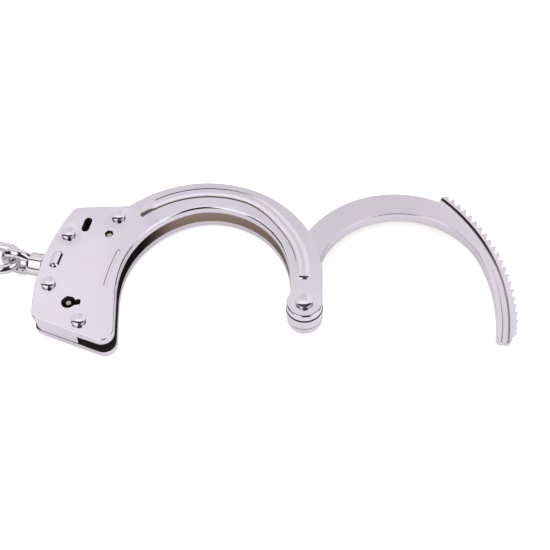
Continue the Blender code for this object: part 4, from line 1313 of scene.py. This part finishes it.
def studio_world():
    """A white tent: a grey far wall, a dark line where its front opens, the dark camera stand in
    the middle of it. Angles are in degrees, X, Y and Z the parts of the direction looked in."""
    world = bpy.data.worlds.new("studio")
    scene.world = world
    world.use_nodes = True
    graph = Graph(world.node_tree)
    background = world.node_tree.nodes["Background"]
    coords = graph.add("TexCoord")
    split = graph.add("SeparateXYZ")
    graph.feed(split.inputs[0], coords.outputs["Generated"])
    x, y, z = split.outputs
    op = graph.math

    def ramp(*settings):
        return graph.ramp(*settings, kind="SMOOTHSTEP")

    def window(value, low, high, soft):
        rise = ramp(value, low - soft, low + soft)
        return op("MULTIPLY", rise, ramp(value, high - soft, high + soft, 1.0, 0.0))

    elevation = op("MULTIPLY", op("ARCSINE", z), 180 / math.pi)
    # 0 at the camera, + to the right
    azimuth = op("MULTIPLY", op("ARCTAN2", x, op("MULTIPLY", y, -1.0)), 180 / math.pi)

    # the far wall: brighter on the left, shaded low in its middle
    shade = op("MULTIPLY", window(x, -0.13, 0.17, 0.04), ramp(elevation, 50.8, 57.0, 1, 0))
    left_shade = op("MULTIPLY", ramp(x, -0.08, -0.14), ramp(elevation, 49.4, 51.2, 1.15, 0))
    shade = op("MAXIMUM", shade, left_shade)
    sides = op("ADD", ramp(x, -0.05, -0.2, 0, 0.12), ramp(x, 0.16, 0.28, 0, 0.10))
    far = op("ADD", 1.0, sides)
    far = op("MULTIPLY", far, op("SUBTRACT", 1.0, op("MULTIPLY", shade, 0.125)))
    far = op("ADD", far, ramp(elevation, 57, 72, 0, 0.28))
    front_white = op("MULTIPLY", ramp(y, -0.05, -0.35), ramp(z, 0.15, 0.55))
    level = op("ADD", far, op("MULTIPLY", front_white, 0.60))
    # the seam of the tent overhead, straight across
    lean = op("DIVIDE", y, op("MAXIMUM", z, 0.02))
    lean = op("SUBTRACT", lean, op("MULTIPLY", 0.82, op("MULTIPLY", x, x)))
    band = op("MULTIPLY", window(lean, -0.075, 0.165, 0.018), ramp(z, 0.2, 0.4))
    band = op("MULTIPLY", band, window(x, -0.85, 0.85, 0.08))
    # the dark stand that the camera is on, with its half width
    half = op("MAXIMUM", ramp(elevation, 20, 60, 34, 26), ramp(elevation, 60, 84, 26, 62))
    stand = op("SUBTRACT", half, op("ABSOLUTE", op("SUBTRACT", azimuth, 8.0)))
    stand = op("MULTIPLY", ramp(stand, -2.0, 2.0), ramp(elevation, 83, 87, 1, 0))
    # the dark room under the tent's skirt, higher at both sides
    right_side = window(azimuth, 86, 134, 8)
    left_side = window(azimuth, -112, -58, 8)
    front_side = window(azimuth, -58, 86, 10)
    skirt = op("ADD", op("MULTIPLY", left_side, 33.0), op("MULTIPLY", front_side, 5.0))
    skirt = op("ADD", 6.0, op("ADD", op("MULTIPLY", right_side, 28.0), skirt))
    room = ramp(op("SUBTRACT", skirt, elevation), -2.5, 2.5)
    # seam and stand belong to the main camera's place: from elsewhere they are mostly gone
    forward = graph.add("VectorTransform")
    forward.vector_type = "VECTOR"
    forward.convert_from = "CAMERA"
    forward.convert_to = "WORLD"
    forward.inputs[0].default_value = (0.0, 0.0, 1.0)
    facing = graph.add("VectorMath")
    facing.operation = "DOT_PRODUCT"
    facing.inputs[1].default_value = CAMERA_FORWARD
    graph.feed(facing.inputs[0], forward.outputs[0])
    there = ramp(op("ABSOLUTE", facing.outputs["Value"]), 0.90, 0.985, 0.22, 1.0)
    rig = op("MULTIPLY", op("ADD", op("MULTIPLY", band, 0.96), stand), there)
    dark = op("MINIMUM", 1.0, op("ADD", rig, room))
    level = op("MULTIPLY", level, op("SUBTRACT", 1.0, op("MULTIPLY", dark, 0.975)))

    # a slight drift between a cool and a warm white
    wobble = graph.noise(coords.outputs["Generated"], scale=1.7, detail=1.0)
    tint = graph.mix(ramp(wobble, 0.4, 0.6), (1.0, 1.0, 1.02, 1), (1.03, 1.0, 1.0, 1))
    graph.feed(background.inputs["Color"], tint)
    graph.feed(background.inputs["Strength"], level)


def soft_box(name, at, power):
    """A square light aimed at the cuffs that shows in no reflection."""
    light = bpy.data.lights.new(name, "AREA")
    light.shape = "RECTANGLE"
    light.size = light.size_y = 0.8
    light.energy = power
    obj = bpy.data.objects.new(name, light)
    scene.collection.objects.link(obj)
    obj.location = at
    aim = Vector((-0.03, 0.02, 0)) - Vector(at)
    obj.rotation_euler = aim.to_track_quat("-Z", "Y").to_euler()
    obj.visible_glossy = False
    obj.visible_camera = False


def paper_material():
    """White paper that glows for the camera and, less, in reflections."""
    paper = bpy.data.materials.new("studio_paper")
    paper.use_nodes = True
    graph = Graph(paper.node_tree)
    shader = paper.node_tree.nodes["Principled BSDF"]
    shader.inputs["Base Color"].default_value = (0.93, 0.93, 0.935, 1)
    shader.inputs["Roughness"].default_value = 0.9
    shader.inputs["Specular IOR Level"].default_value = 0.1
    rays = graph.add("LightPath").outputs
    glow = graph.math("MULTIPLY", rays["Is Camera Ray"], 0.55)
    glow = graph.math("MULTIPLY_ADD", rays["Is Glossy Ray"], 0.14, glow)
    shader.inputs["Emission Color"].default_value = (1, 1, 1, 1)
    graph.feed(shader.inputs["Emission Strength"], glow)
    return paper


def add_floor():
    mesh = bpy.data.meshes.new("floor")
    corners = [(-4, -4, 0), (4, -4, 0), (4, 4, 0), (-4, 4, 0)]
    mesh.from_pydata(corners, [], [(0, 1, 2, 3)])
    floor = bpy.data.objects.new("floor", mesh)
    scene.collection.objects.link(floor)
    mesh.materials.append(paper_material())


def add_camera():
    """The camera, looking down from the front."""
    level_up = Vector((0, math.sin(CAMERA_DOWN), math.cos(CAMERA_DOWN)))
    cos, sin = math.cos(CAMERA_ROLL), math.sin(CAMERA_ROLL)
    right = Vector((1, 0, 0)) * cos + level_up * sin
    up = Vector((1, 0, 0)) * -sin + level_up * cos
    data = bpy.data.cameras.new("camera")
    data.sensor_width = 36.0
    data.lens = 70.2346
    data.clip_start = 0.01
    camera = bpy.data.objects.new("camera", data)
    scene.collection.objects.link(camera)
    rows = [
        (right[i], up[i], -CAMERA_FORWARD[i], CAMERA_AT[i] * MM) for i in range(3)
    ]
    camera.matrix_world = Matrix((*rows, (0, 0, 0, 1)))
    scene.camera = camera


studio_world()
soft_box("key_box", at=(-0.5, -0.3, 0.9), power=2.8)
soft_box("fill_box", at=(0.6, 0.4, 0.8), power=1.8)
add_floor()
add_camera()
